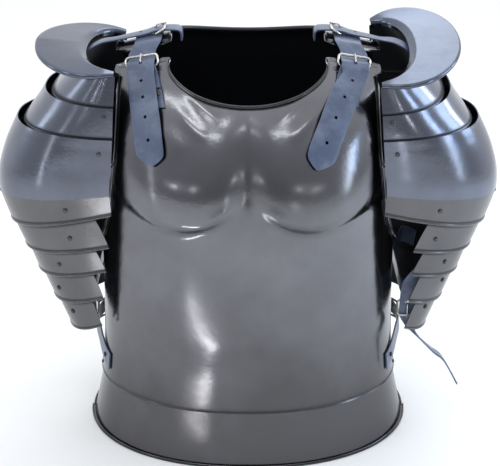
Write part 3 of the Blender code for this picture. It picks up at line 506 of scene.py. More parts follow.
def body_plate(name, back, end_angle, neck_level, tab_level, outwards):
    """One plate from the hem to its rolled upper edge, made as a half and mirrored."""
    def place(column, row):
        angle, level = upper_edge(column, neck_level, tab_level, end_angle)
        bottom = end_angle * (column / EDGE_STEPS) ** 0.9
        share = 1 - (1 - min(row, 1)) ** 1.25
        return between(bottom, angle, share ** 1.3), level * share

    def row_share(row):
        if row < HEM_ROWS:
            return 0.002 * row
        return between(0.002 * HEM_ROWS, 1, min((row - HEM_ROWS) / (PLATE_ROWS - HEM_ROWS), 1))

    def at(column, row):
        angle, level = place(column, row)
        lip = HEM_LIP * bell(level - 0.02, 0.04)
        return trunk_surface(math.pi - angle if back else angle, level, outwards + lip)

    def point(column, row):
        column /= FINE
        share = row_share(row)
        edge = at(column, share)
        if row > PLATE_ROWS:
            along = at(min(column + 0.05, EDGE_STEPS), 1) - at(max(column - 0.05, 0), 1)
            angle, level = place(column, 1)
            normal = trunk_normal(math.pi - angle if back else angle, level)
            away = along.cross(normal).normalized()
            if away.dot(edge - at(column, 0.98)) < 0:
                away.negate()
            strength = ease(abs(column - NECK_STEPS - TAB_STEPS / 2) / 2 - 0.2)
            if back:
                strength *= ease((EDGE_STEPS - column) / 2 - 0.5)
            strength = max(strength, 0.02)
            turn = ROLL_TURN * (row - PLATE_ROWS) / ROLL_ROWS * strength
            radius = ROLL_RADIUS / strength
            edge = edge + away * math.sin(turn) * radius + normal * (1 - math.cos(turn)) * radius
        if column == 0:
            edge.x = 0
        return edge

    # Painted shade: a dark line inside the rolled upper edge and, on the breastplate, a dark band at the hem
    # lip.
    def crease(column, row):
        if back:
            return 0.7 * bell(row - PLATE_ROWS + 0.5, 0.8)
        angle, level = place(column / FINE, row_share(row))
        return 0.7 * bell(row - PLATE_ROWS + 0.5, 0.8) + 0.5 * bell(row - HEM_ROWS + 1, 1.2)

    return sheet(name, point, EDGE_STEPS * FINE, PLATE_ROWS + ROLL_ROWS, inward=back, mirror=True,
                 crease=crease)


FRONT_END, BACK_END = side_angle(0.0072), math.pi - side_angle(-0.0048)
FRONT_NECK, FRONT_TAB = 7.57, 9.15     # levels of the neckline and of the tab's end
BACK_NECK, BACK_TAB = 8.45, 10.35
breastplate = body_plate("breastplate", False, FRONT_END, FRONT_NECK, FRONT_TAB, 0.0)
backplate = body_plate("backplate", True, BACK_END, BACK_NECK, BACK_TAB, -LAYER)
print("plates", len(breastplate.data.polygons), len(backplate.data.polygons))

# %% [markdown]
# ## Skirt
# Below the waist two bands flare out and end in a rolled rim. Their shape follows one
# rule, the rounded box of the hem grown wider with each step down, so this piece is
# made by Geometry Nodes: a grid whose points are set from their own row and column.
# The inputs carry the sizes, so that the same tree makes the front and the back band.

# %% A helper for geometry node trees


def geometry_group(name, inputs):
    group = bpy.data.node_groups.new(name, "GeometryNodeTree")
    for label, kind, value in inputs:
        socket = group.interface.new_socket(label, in_out="INPUT", socket_type="NodeSocket" + kind)
        if value is not None:
            socket.default_value = value
    group.interface.new_socket("Geometry", in_out="OUTPUT", socket_type="NodeSocketGeometry")
    return group, group.nodes.new("NodeGroupInput").outputs, group.nodes.new("NodeGroupOutput").inputs


def add_node(tree, kind, settings=None, **links):
    """A node whose inputs are given by name, with _ for a space, or by number, as n0."""
    node = tree.nodes.new(kind)
    for key, value in (settings or {}).items():
        setattr(node, key, value)
    for label, value in links.items():
        key = int(label[1:]) if label[0] == "n" and label[1:].isdigit() else label.replace("_", " ")
        feed(tree, value, node.inputs[key])
    return node


def live_output(node):
    """The output in use, on a node that has one output for each data type."""
    return next(socket for socket in node.outputs if socket.enabled)


def run_group(group, values, mesh=None):
    """The plain mesh that a tree makes with these input values."""
    carrier = bpy.data.objects.new("carrier", mesh or bpy.data.meshes.new("carrier"))
    bpy.context.scene.collection.objects.link(carrier)
    step = carrier.modifiers.new("nodes", "NODES")
    step.node_group = group
    for item in group.interface.items_tree:
        if item.item_type == "SOCKET" and item.in_out == "INPUT" and item.name in values:
            step[item.identifier] = values[item.name]
    carrier.update_tag()
    bpy.context.view_layer.update()
    done = bpy.data.meshes.new_from_object(carrier.evaluated_get(bpy.context.evaluated_depsgraph_get()))
    bpy.data.objects.remove(carrier, do_unlink=True)
    return done


# %% The skirt's tree
HEM_HALF, HEM_FRONT, HEM_BACK = (TRUNK_HALF * LEVELS[0][2], TRUNK_DEPTH * LEVELS[0][3],
                                 TRUNK_DEPTH * LEVELS[0][4])
band, given, result = geometry_group("flared band", (
    ("Half width", "Float", HEM_HALF), ("Front depth", "Float", HEM_FRONT),
    ("Back depth", "Float", HEM_BACK),
    ("Squareness", "Float", SQUARENESS), ("First angle", "Float", 0.0), ("Last angle", "Float", 1.0),
    ("Height", "Float", SKIRT_HEIGHT), ("Flare", "Float", SKIRT_FLARE), ("Tuck", "Float", SKIRT_TUCK),
    ("Inset", "Float", LAYER), ("Roll radius", "Float", ROLL_RADIUS), ("Wall", "Float", PLATE),
    ("Middle", "Float", SHIFT.y), ("Columns", "Int", 181), ("Rows", "Int", 91), ("Steel", "Material", None)))
grid = add_node(band, "GeometryNodeMeshGrid", Size_X=1.0, Size_Y=1.0,
                Vertices_X=given["Columns"], Vertices_Y=given["Rows"])
place = add_node(band, "ShaderNodeSeparateXYZ", Vector=add_node(band, "GeometryNodeInputPosition").outputs[0])


def calc(operation, *values):
    return math_node(band, operation, *values)


across = calc("ADD", place.outputs["X"], 0.5)
down = calc("SUBTRACT", 0.5, place.outputs["Y"])
angle = calc("MULTIPLY_ADD", calc("SUBTRACT", given["Last angle"], given["First angle"]), across,
             given["First angle"])
sine, cosine = calc("SINE", angle), calc("COSINE", angle)
power = given["Squareness"]
reach = calc("POWER", calc("ADD", calc("POWER", calc("ABSOLUTE", sine), power),
                           calc("POWER", calc("ABSOLUTE", cosine), power)), calc("DIVIDE", -1.0, power))
is_front = calc("GREATER_THAN", cosine, 0.0)
depth = calc("MULTIPLY_ADD", is_front, calc("SUBTRACT", given["Front depth"], given["Back depth"]),
             given["Back depth"])
hem_x = calc("MULTIPLY", given["Half width"], calc("MULTIPLY", sine, reach))
hem_y = calc("MULTIPLY", depth, calc("MULTIPLY", calc("MULTIPLY", cosine, reach), -1.0))
out = add_node(band, "ShaderNodeVectorMath", {"operation": "NORMALIZE"},
               n0=add_node(band, "ShaderNodeCombineXYZ", X=hem_x, Y=hem_y).outputs[0])
wall_share, roll_share = 0.80, 0.20    # of the rows, down the wall and round the roll
wall = calc("MINIMUM", calc("DIVIDE", down, wall_share), 1.0)
turn = calc("MULTIPLY", calc("MAXIMUM", calc("DIVIDE", calc("SUBTRACT", down, wall_share), roll_share), 0.0),
            ROLL_TURN)
lowest_sine = math.sin(math.radians(60))
rim = calc("MULTIPLY_ADD", given["Roll radius"], lowest_sine, given["Wall"])
straight = calc("SUBTRACT", calc("ADD", given["Height"], given["Tuck"]), rim)
fall = calc("SUBTRACT", calc("MULTIPLY", straight, wall), given["Tuck"])
flare = calc("MULTIPLY", given["Flare"],
             calc("POWER", calc("MAXIMUM", calc("DIVIDE", fall, given["Height"]), 0.0), 1.1))
tuck = calc("MULTIPLY", calc("MINIMUM", fall, 0.0), 0.12)
curl = calc("MULTIPLY", given["Roll radius"], calc("SUBTRACT", 1.0, calc("COSINE", turn)))
drop = calc("MULTIPLY_ADD", given["Roll radius"], calc("MINIMUM", calc("SINE", turn), lowest_sine), fall)
stand = calc("SUBTRACT", calc("ADD", calc("ADD", flare, tuck), curl), given["Inset"])
moved = add_node(band, "ShaderNodeVectorMath", {"operation": "SCALE"}, n0=out.outputs[0], Scale=stand)
hem = add_node(band, "ShaderNodeCombineXYZ", X=hem_x, Y=calc("ADD", hem_y, given["Middle"]),
               Z=calc("SUBTRACT", given["Height"], drop))
final = add_node(band, "ShaderNodeVectorMath", {"operation": "ADD"},
                 n0=hem.outputs[0], n1=moved.outputs[0])
shaped = add_node(band, "GeometryNodeSetPosition", Geometry=grid.outputs["Mesh"],
                  Position=final.outputs[0])
SHADE_FALL, SHADE_WIDTH = 0.0012, 0.0034    # painted shade just under the hem of the plates
shade_under_hem = calc("MULTIPLY_ADD", calc("ABSOLUTE", calc("SUBTRACT", fall, SHADE_FALL)),
                 -1 / SHADE_WIDTH, 1.0)
# Painted shade: the stored "crease" value darkens a narrow band of the skirt just under the plates' hem.
with_shade = add_node(band, "GeometryNodeStoreNamedAttribute", {"data_type": "FLOAT", "domain": "POINT"},
                  Geometry=shaped.outputs[0], Name="crease",
                  Value=math_node(band, "MAXIMUM", shade_under_hem, 0.0, clamp=True))
painted = add_node(band, "GeometryNodeSetMaterial", Geometry=with_shade.outputs[0], Material=given["Steel"])
band.links.new(add_node(band, "GeometryNodeRealizeInstances", Geometry=painted.outputs[0]).outputs[0],
               result["Geometry"])
print("flared band tree has", len(band.nodes), "nodes")

# %% The two bands
SPLIT, SPLIT_GAP = side_angle(-0.006), 0.004


def skirt_band(name, first, last, inset):
    mesh = run_group(band, {"First angle": first, "Last angle": last, "Inset": inset,
                            "Steel": PLATE_STEEL})
    mesh.materials.append(INSIDE_SHADE)
    walled = baked(mesh, ("SOLIDIFY", dict(thickness=PLATE, offset=-1, use_even_offset=True,
                                           use_quality_normals=True, material_offset=1)))
    return finish_piece(name, walled, ())


skirt_front = skirt_band("skirt_front", -SPLIT, SPLIT, LAYER)
skirt_back = skirt_band("skirt_back", SPLIT + SPLIT_GAP, 2 * math.pi - SPLIT - SPLIT_GAP, 2 * LAYER)
for skirt in (skirt_front, skirt_back):
    heights = [vert.co.z for vert in skirt.data.vertices]
    print(skirt.name, round(min(heights), 5), round(max(heights), 4))

# %% [markdown]
# ## Shoulder lames
# Seven bands lie over each other like the tail of a shrimp. Each is a strip of one
# common shoulder form, set a little further in than the lame that covers it. The third
# lame is large and has a fold across it, which shows as a sharp change of light.
# Smaller and smaller copies of one band would be quicker to make, but they would cut
# through each other, while strips of one form keep an even gap.

# %% The shoulder form
ARM_INNER, ARM_REACH, ARM_HEIGHT, ARM_HALF_DEPTH = 0.150, 0.165, 0.512, 0.098
ARM_MIDDLE, ARM_ROUNDNESS, LAME_GAP, LAME_FLARE = 0.004, 2.3, 0.0016, 0.0075
LAME_LAYER = PLATE + LAME_GAP
CAP_PITCH = {-1: math.radians(1), 1: math.radians(9)}
FRONT_TURN = {-1: 1.0, 1: 0.82}    # on the right the lower lames end sooner
# columns: outer reach, outer height, end reach, end height, half depth
STATIONS = (
    (0.340, 1.000, 0.050, 0.972, 0.950), (0.600, 0.900, 0.080, 0.890, 1.000),
    (0.815, 0.820, 0.100, 0.812, 1.030), (0.950, 0.740, 0.120, 0.748, 1.035),
    (1.000, 0.660, 0.140, 0.690, 1.030), (0.940, 0.560, 0.135, 0.620, 0.985),
    (0.860, 0.490, 0.160, 0.530, 0.950), (0.785, 0.422, 0.190, 0.460, 0.915),
    (0.690, 0.344, 0.220, 0.378, 0.870), (0.590, 0.262, 0.240, 0.296, 0.820),
)
# columns: name, first station, last station, layers in, flare, half turn above, below
LAMES = (
    ("lame_1", 0.06, 1.42, 2.0, 0.0, 92, 92), ("lame_2", 0.95, 2.55, 1.0, 1.0, 92, 92),
    ("lame_3", 1.92, 5.00, 0.0, 1.0, 92, 92), ("lame_4", 4.70, 6.00, 1.0, 0.0, 80, 92),
    ("lame_5", 5.70, 7.00, 2.0, 0.0, 80, 92), ("lame_6", 6.70, 8.00, 3.0, 0.0, 78, 92),
    ("lame_7", 7.70, 9.00, 4.0, 0.0, 76, 92),
)


def arm_point(side, place, angle, flare=0.0):
    """Point of a shoulder; angle 0 is the outer side, negative the front."""
    across, along = arch(angle, ARM_ROUNDNESS)
    outer, high, end, low, half = (table_value(STATIONS, column, place) for column in range(5))
    x = ARM_INNER + ARM_REACH * between(end, outer, along) + flare * max(along, 0) ** 3
    y = ARM_HALF_DEPTH * half * across
    z = ARM_HEIGHT * between(low, high, along) + math.tan(CAP_PITCH[side]) * y * (1 - ease(place / 2.5))
    return Vector((x, y + ARM_MIDDLE, z))


def arm_normal(side, place, angle, step=0.01):
    around = arm_point(side, place, angle + step) - arm_point(side, place, angle - step)
    downward = arm_point(side, place + step, angle) - arm_point(side, max(place - step, 0), angle)
    return downward.cross(around).normalized()


def arm_surface(side, place, angle, outwards=0.0, flare=0.0):
    point = arm_point(side, place, angle, flare) + arm_normal(side, place, angle) * outwards
    return Vector((point.x * side, point.y, point.z)) + SHIFT


print("widest point of the arm", round(arm_surface(1, 4, 0).x, 4))

# %% The lames
FOLD_STATION, FOLD_HEIGHT, BEAD_HEIGHT = 4.15, 0.0034, 0.0013
STATION_LENGTH = 0.040
ROW_CROWDING = 1.6      # rows lie closer together near the bead
LAME_COLUMNS, LAME_ROWS, LARGE_LAME_ROWS = 72, 36, 56


def fold_lift(station):
    """How far the fold of the third lame stands out at a station."""
    above = FOLD_STATION - station
    return FOLD_HEIGHT * max(0.0, 1 - (above / 1.9 if above > 0 else -above / 0.85))


def lame(side_name, side, label, first, last, layers, flare, upper_turn, lower_turn):
    columns, rows = LAME_COLUMNS, (LARGE_LAME_ROWS if label == "lame_3" else LAME_ROWS)
    front = FRONT_TURN[side] if first > 2 else 1.0
    covered = {"lame_1": 0.92, "lame_2": 1.88}.get(label, first + 0.33)

    def point(column, row):
        share = (row / rows) ** ROW_CROWDING
        half_turn = math.radians(between(lower_turn, upper_turn, share))
        angle = between(-half_turn * front, half_turn, column / columns)
        place = between(last, first, share)
        above_edge = (last - place) * STATION_LENGTH
        out = -layers * LAME_LAYER + BEAD_HEIGHT * bell(above_edge - 0.0014, 0.0015)
        if label == "lame_3":
            out += fold_lift(place)
        return arm_surface(side, place, angle, out, LAME_FLARE * flare * share ** 3)

    # Painted shade: a dark line just above the bead, and a dark band where the lame above laps over this one.
    def crease(column, row):
        place = between(last, first, (row / rows) ** ROW_CROWDING)
        shade_above_bead = 0.75 * bell((last - place) * STATION_LENGTH - 0.0046, 0.0012)
        shade_under_lap = bell(place - covered, 0.045) if label != "lame_3" else 0.0
        return min(shade_above_bead + shade_under_lap, 1.0)

    lower = None
    # Below its fold the third lame takes the grey steel and above it the blue: partly the steel's own tint,
    # partly painted reflection of the bluish light that the upper face catches.
    if label == "lame_3":
        fold_share = (last - FOLD_STATION) / (last - first)
        lower = (round(rows * fold_share ** (1 / ROW_CROWDING)), LOWER_STEEL)
    finish = LAME_STEEL if first < 2.5 else LOWER_STEEL
    return sheet(f"{side_name}_{label}", point, columns, rows, finish=finish, inward=side < 0,
                 smooth=50, crease=crease, lower=lower)


SIDES = (("left", -1), ("right", 1))
for side_name, side in SIDES:
    for row in LAMES:
        lame(side_name, side, *row)
print("lames made", 2 * len(LAMES))

# %% [markdown]
# ## Neck guards
# A crescent brim stands up from each shoulder cap and turns a blow away from the neck.
# It is one sheet: a short flange inside the first lame, bent out into the brim, with a
# rolled edge. A profile swept along a curve could draw a brim of one width. This one
# grows from nothing at its tips, which a grid with a width for each column gives at once.

# %% The neck guards
GUARD_REACH, GUARD_TIP, GUARD_FLANGE = 0.053, 0.006, 0.14
GUARD_COLUMNS, FLANGE_ROWS, BRIM_ROWS, BRIM_ROLL_ROWS = 96, 4, 24, 8


def neck_guard(side_name, side):
    flange = -3 * LAME_LAYER

    def point(column, row):
        angle = math.radians(between(-90, 90, column / GUARD_COLUMNS))
        edge = arm_surface(side, 0.0, angle, flange)
        if row < FLANGE_ROWS:
            return arm_surface(side, GUARD_FLANGE * (1 - row / FLANGE_ROWS), angle, flange)
        across, along = arch(angle, ARM_ROUNDNESS)
        out = Vector((side * max(along, 0), across * 0.9, 0)).normalized()
        behind = side < 0 < angle      # the left brim is narrower and flatter behind
        width = GUARD_REACH * max(math.cos(angle), 0) ** (2.1 if behind else 1.3) + GUARD_TIP
        rise = 0.10 + (0.04 if behind else 0.28) * math.sin(angle)
        share = min((row - FLANGE_ROWS) / (BRIM_ROWS - FLANGE_ROWS), 1.0)
        lift = 0.0035 * ease(share * 8)
        rim = edge + out * width * share + Vector((0, 0, lift + width * share * rise))
        if row <= BRIM_ROWS:
            return rim
        down = Vector((out.x * rise, out.y * rise, -1)).normalized()
        away = Vector((out.x, out.y, rise)).normalized()
        turn = ROLL_TURN * (row - BRIM_ROWS) / BRIM_ROLL_ROWS
        return rim + (away * math.sin(turn) + down * (1 - math.cos(turn))) * ROLL_RADIUS

    return sheet(side_name + "_neck_guard", point, GUARD_COLUMNS, BRIM_ROWS + BRIM_ROLL_ROWS,
                 finish=GUARD_STEEL, inside=GUARD_STEEL, inward=side < 0, smooth=60)


for side_name, side in SIDES:
    guard = neck_guard(side_name, side)
    print(guard.name, "has", len(guard.data.polygons), "faces")

# %% [markdown]
# ## Leather straps
# A strap is cut flat from a hide, its edges are rubbed round and a line is pressed
# along them. Here it is a strip through a few rows of points: smooth between the rows,
# with rounded edges and the pressed line in its cross-section. A curve with a bevel
# would twist at the buckles; rows of points say at each place how the strap lies.

# %% Leather material
leather_marks, given, result = shader_group(
    "leather marks",
    (("Dye", (0.075, 0.100, 0.165, 1)), ("Worn", (0.20, 0.24, 0.34, 1)), ("Grain scale", 420.0),
     ("Wear amount", 0.6)),
    (("Colour", "NodeSocketColor"), ("Roughness", "NodeSocketFloat"), ("Height", "NodeSocketFloat")))
place = leather_marks.nodes.new("ShaderNodeTexCoord").outputs["Object"]
grain = add_node(leather_marks, "ShaderNodeTexVoronoi", {"feature": "DISTANCE_TO_EDGE"}, Vector=place,
                 Scale=given["Grain scale"]).outputs["Distance"]
wear = math_node(leather_marks, "MULTIPLY_ADD", noise_node(leather_marks, place, 38.0, 5.0, 0.6),
                 3.4, -1.5, clamp=True)
worn = math_node(leather_marks, "MULTIPLY", wear, given["Wear amount"])
link_pairs(leather_marks,
           (colour_mix(leather_marks, worn, given["Dye"], given["Worn"]), result["Colour"]),
           (math_node(leather_marks, "MULTIPLY_ADD", wear, 0.16, 0.30), result["Roughness"]),
           (math_node(leather_marks, "MINIMUM", grain, 0.35), result["Height"]))
STRAP_LEATHER = marked_material("glossed black leather", leather_marks, {}, 0.0, 0.35, 0.0006)
HIDDEN_LEATHER = marked_material(
    "plain black leather", leather_marks,
    {"Dye": (0.010, 0.010, 0.012, 1), "Worn": (0.03, 0.03, 0.035, 1)}, 0.0, 0.35, 0.0006)
print("leather marks group has", len(leather_marks.nodes), "nodes")

# %% The strap helper
ALONG, ACROSS = 5, 14
EDGE_ROUND, LINE_DEPTH = 0.00045, 0.00030
EDGE_CROWDING = 0.43 * math.pi    # columns lie closer together near the edges


def across_share(column):
    """Place of a column across the strap, from -1 to 1."""
    return math.sin((2 * column / ACROSS - 1) * EDGE_CROWDING) / math.sin(EDGE_CROWDING)


def strap_section(across):
    """How far the outer face lies below its middle, at a share of the half width."""
    return EDGE_ROUND * ease((abs(across) - 0.90) / 0.10) + LINE_DEPTH * bell(abs(across) - 0.78, 0.05)


def strap_mesh(rows, inward):
    """Leather through rows of two or three points, left to right, with its wall."""
    width = len(rows[0]) - 1

    def point(column, row):
        share = across_share(column)
        place = row / ALONG
        first, last = table_value(rows, 0, place), table_value(rows, width, place)
        middle = (first + last) / 2
        sag = table_value(rows, 1, place) - middle if width > 1 else Vector()
        return middle + (last - first) * share / 2 + sag * (1 - share * share)

    mesh = grid_mesh("strap", point, ACROSS, (len(rows) - 1) * ALONG, inward)
    shifts = [vert.normal * strap_section(across_share(vert.index % (ACROSS + 1))) for vert in mesh.vertices]
    for vert, shift in zip(mesh.vertices, shifts):
        vert.co -= shift
    return baked(mesh, ("SOLIDIFY", dict(thickness=LEATHER, offset=-1, use_even_offset=True)))


def joined(name, meshes):
    bm = bmesh.new()
    for each in meshes:
        bm.from_mesh(each)
    mesh = bpy.data.meshes.new(name)
    bm.to_mesh(mesh)
    bm.free()
    return mesh


def punched(mesh, holes, depth=0.010):
    """The mesh with round holes at (middle, direction, radius)."""
    bm = bmesh.new()
    for middle, direction, radius in holes:
        turn = direction.to_track_quat("Z", "Y").to_matrix().to_4x4()
        bmesh.ops.create_cone(bm, cap_ends=True, segments=20, radius1=radius, radius2=radius, depth=depth,
                              matrix=Matrix.Translation(middle) @ turn)
    pins = bpy.data.meshes.new("punch")
    bm.to_mesh(pins)
    bm.free()
    punch = bpy.data.objects.new("punch", pins)
    bpy.context.scene.collection.objects.link(punch)
    done = baked(mesh, ("BOOLEAN", dict(operation="DIFFERENCE", solver="EXACT", object=punch)))
    bpy.data.objects.remove(punch, do_unlink=True)
    return done


def strap(name, rows, inward, holes=(), more=()):
    mesh = strap_mesh(rows, inward)
    if more:
        mesh = joined(name, [mesh, *more])
    if holes:
        mesh = punched(mesh, holes)
    return finish_piece(name, mesh, (STRAP_LEATHER,), smooth=35)


print("a strap is", ACROSS, "faces across, with a line pressed", LINE_DEPTH, "m deep")

# %% [markdown]
# ## Buckles
# A buckle is bent from one round wire and its tongue from a thinner one. The path of
# the wire is a few corner points; a Geometry Nodes tree rounds the corners and sweeps a
# circle along them. Changing the wire or the corner radius is then one input.

# %% The wire tree
BUCKLE_WIRE, BUCKLE_FIT, TONGUE_WIRE = 0.0014, 0.0011, 0.0010
wire_tree, given, result = geometry_group("bent wire", (
    ("Geometry", "Geometry", None), ("Wire radius", "Float", BUCKLE_WIRE),
    ("Corner radius", "Float", 0.004), ("Corner steps", "Int", 6), ("Sides", "Int", 12),
    ("Metal", "Material", None)))
path = add_node(wire_tree, "GeometryNodeMeshToCurve", Mesh=given["Geometry"])
rounded = add_node(wire_tree, "GeometryNodeFilletCurve", {"mode": "POLY"}, Curve=path.outputs[0],
                   Radius=given["Corner radius"], Limit_Radius=True, Count=given["Corner steps"])
circle = add_node(wire_tree, "GeometryNodeCurvePrimitiveCircle", Resolution=given["Sides"],
                  Radius=given["Wire radius"])
swept = add_node(wire_tree, "GeometryNodeCurveToMesh", Curve=rounded.outputs[0],
                 Profile_Curve=circle.outputs[0], Fill_Caps=True)
real = add_node(wire_tree, "GeometryNodeRealizeInstances", Geometry=swept.outputs[0])
wire_tree.links.new(add_node(wire_tree, "GeometryNodeSetMaterial", Geometry=real.outputs[0],
                             Material=given["Metal"]).outputs[0], result["Geometry"])


def wire(points, radius, corner, closed=False):
    mesh = bpy.data.meshes.new("path")
    count = len(points)
    mesh.from_pydata(points, [(k, (k + 1) % count) for k in range(count if closed else count - 1)], [])
    return run_group(wire_tree, {"Wire radius": radius, "Corner radius": corner,
                                 "Metal": BUCKLE_METAL}, mesh)


def buckle(name, chart, half_width, length, low, high):
    """Frame whose bar lies at low and whose far side at high, with a tongue."""
    reach = half_width + BUCKLE_FIT + BUCKLE_WIRE
    frame = [chart(x * reach, 0, low) for x in (-1, 0, 1)]
    frame += [chart(across * reach, along, between(low, high, share))
              for across, along, share in ((1.02, length / 2, 0.55), (1, length, 1), (0, length, 1),
                                           (-1, length, 1), (-1.02, length / 2, 0.55))]
    top = high + BUCKLE_WIRE + 0.6 * TONGUE_WIRE
    lift = max(top, low + 2 * LEATHER + 0.0028)
    eye = BUCKLE_WIRE + TONGUE_WIRE
    path = ((-eye, low + eye * 0.4), (-eye, low - eye * 0.8), (eye, low - eye * 0.8), (eye, low + 0.003),
            (0.0022, lift), (0.5 * length, lift), (length * 1.12, top))
    tongue = wire([chart(0, along, out) for along, out in path], TONGUE_WIRE, 0.002)
    mesh = joined(name, [wire(frame, BUCKLE_WIRE, 0.0045, True), tongue])
    return finish_piece(name, mesh, (BUCKLE_METAL,))


print("wire tree has", len(wire_tree.nodes), "nodes")

# %% [markdown]
# ## Shoulder straps
# Each long strap starts at a stud of the backplate, crosses the shoulder and goes down
# through the buckle of a short strap that is riveted to the chest. Its tail hangs free,
# turned towards the middle, with four punched holes. A cloth simulation could drape it,
# but leather this stiff keeps to a few bends, so its rows are set at heights that leave
# room for the wires.

# %% The shoulder straps
STRAP_HALF, STRAP_TAIL, STRAP_SIDE = 0.0165, 0.135, 0.126
STUD_SIDE, STUD_LEVEL = STRAP_SIDE - 0.004, 9.25
BUCKLE_LENGTH, BUCKLE_LEVEL, CHAPE_LEVEL, CHAPE_SHIFT = 0.017, 8.85, 7.5, 0.012
HOLE_RADIUS = 0.0021
LARGE_HEAD, MIDDLE_HEAD, SMALL_HEAD = 0.0032, 0.0030, 0.0026    # radii of rivet heads
STRAP_TILT = {-1: math.radians(7), 1: math.radians(22)}
STRAP_HOLES = (0.030, 0.056, 0.082, 0.108)
RIVETS = []            # seats, directions and radii, gathered piece by piece


def mirrored(point, side):
    return Vector((point.x * side, point.y, point.z))


def chest_point(side, x, level, outwards):
    return mirrored(trunk_surface(angle_at(x, level), level, outwards), side)


def back_point(side, x, level, outwards):
    return mirrored(trunk_surface(math.pi - angle_at(x, level), level, outwards), side)


def way_out(chart, across, along):
    """Direction out of the surface under a chart of (across, along, out)."""
    return (chart(across, along, 0.01) - chart(across, along, 0)).normalized()


def tongue_hole(chart, out, along=0.0012):
    return chart(0, along, out), way_out(chart, 0, 0), TONGUE_WIRE + 4 * FIT


def punch_hole(chart, across, along, out):
    return chart(across, along, out), way_out(chart, across, along), HOLE_RADIUS


def shoulder_strap(side_name, side):
    under = ON_STEEL
    loop = BUCKLE_WIRE + BUCKLE_FIT
    bar = under + loop
    over_bar = bar + loop + 2 * LEATHER + FIT
    far_bar = between(bar, over_bar, 0.55)

    def chart(across, along, out):
        return chest_point(side, STRAP_SIDE + across, BUCKLE_LEVEL + along / LEVEL_LENGTH, out)

    chape_low = (CHAPE_LEVEL - BUCKLE_LEVEL) * LEVEL_LENGTH
    stations = [(chape_low * share, under) for share in (1, 0.6, 0.3, 0)]
    stations += [(loop * math.sin(a), bar - loop * math.cos(a))
                 for a in (math.pi / 4, math.pi / 2, 3 * math.pi / 4)]
    stations += [(0, bar + loop), (chape_low * 0.12, bar + loop - 0.0008),
                 (chape_low * 0.28, under + 2 * FIT), (chape_low * 0.60, under + 2 * FIT)]
    rows = [[chart(x * STRAP_HALF * (0.92 if abs(along) < 0.005 else 1) - CHAPE_SHIFT * along / chape_low,
                   along, out) for x in (-1, 0, 1)] for along, out in stations]
    strap(side_name + "_shoulder_chape", rows, side < 0)
    buckle(side_name + "_shoulder_buckle", chart, STRAP_HALF, BUCKLE_LENGTH, bar,
           far_bar + LEATHER + 2 * FIT)

    tilt = STRAP_TILT[side]
    over_chape = under + 2 * LEATHER + 6 * FIT
    rows = []
    for level, out in ((9.0, 0.0), (9.4, 0.0), (9.8, 0.0), (10.15, 0.0008), (10.45, 0.0035)):
        rows.append([back_point(side, STUD_SIDE + x * STRAP_HALF, level, out + ON_BACKPLATE)
                     for x in (-1, 0, 1)])
    for along, out in ((0.030, 0.0105), (BUCKLE_LENGTH, far_bar - FIT),
                       (0.5 * BUCKLE_LENGTH, between(far_bar, over_bar, 0.6)),
                       (0, over_bar), (-0.010, over_bar - 0.0008), (-0.020, over_chape + 0.0004)):
        rows.append([chart(x * STRAP_HALF, along, out) for x in (-1, 0, 1)])
    for share, width, out in ((0.34, 1, 1), (0.50, 1, 1), (0.66, 1, 0.85), (0.80, 1, 0.7), (0.88, 1, 0.66),
                              (0.93, 0.90, 0.63), (0.97, 0.52, 0.61), (1.0, 0.10, 0.6)):
        along = -STRAP_TAIL * share
        shift = (share - 0.15) * STRAP_TAIL * math.tan(tilt)
        half = STRAP_HALF * width
        rows.append([chart(x * half - shift, along - x * half * math.sin(tilt) * 0.9, over_chape * out)
                     for x in (-1, 0, 1)])
    holes = []
    for fall in STRAP_HOLES:
        shift = max(fall / STRAP_TAIL - 0.15, 0) * STRAP_TAIL * math.tan(tilt)
        holes.append(punch_hole(chart, -shift, -fall, over_chape))
    holes.append(tongue_hole(chart, over_bar))
    strap(side_name + "_shoulder_strap", rows, side > 0, holes)
    seat, away = (back_point(side, STUD_SIDE, STUD_LEVEL, out) for out in (0, 0.01))
    RIVETS.append((back_point(side, STUD_SIDE, STUD_LEVEL, ON_BACKPLATE), (away - seat).normalized(),
                   SMALL_HEAD))
    across, along = -0.0205, chape_low * 0.72
    RIVETS.append((chart(across, along, under), way_out(chart, across, along), MIDDLE_HEAD))


for side_name, side in SIDES:
    shoulder_strap(side_name, side)
print("pieces so far", len(PIECES))

# %% [markdown]
# ## Straps of the shoulder caps, the hips and the arms
# The cap hangs from a strap that crosses the shoulder tab. A bulging strap closes each
# hip, and a strap goes round the open side of each arm, with a long tail on the right.
# A Shrinkwrap modifier would press leather onto a plate, but these straps leave it. So
# each has a chart, a small function that turns across, along and out into a place.

# %% Straps of the shoulder caps
CAP_STRAP_HALF, CAP_STRAP_LEVEL, TAB_LEVEL_LENGTH = 0.013, 9.72, 0.042


def arm_angle(y, place):
    share = (y - SHIFT.y - ARM_MIDDLE) / (ARM_HALF_DEPTH * table_value(STATIONS, 4, place))
    power = abs(share) ** ARM_ROUNDNESS
    return math.copysign(math.atan((power / (1 - power)) ** (1 / ARM_ROUNDNESS)), share)


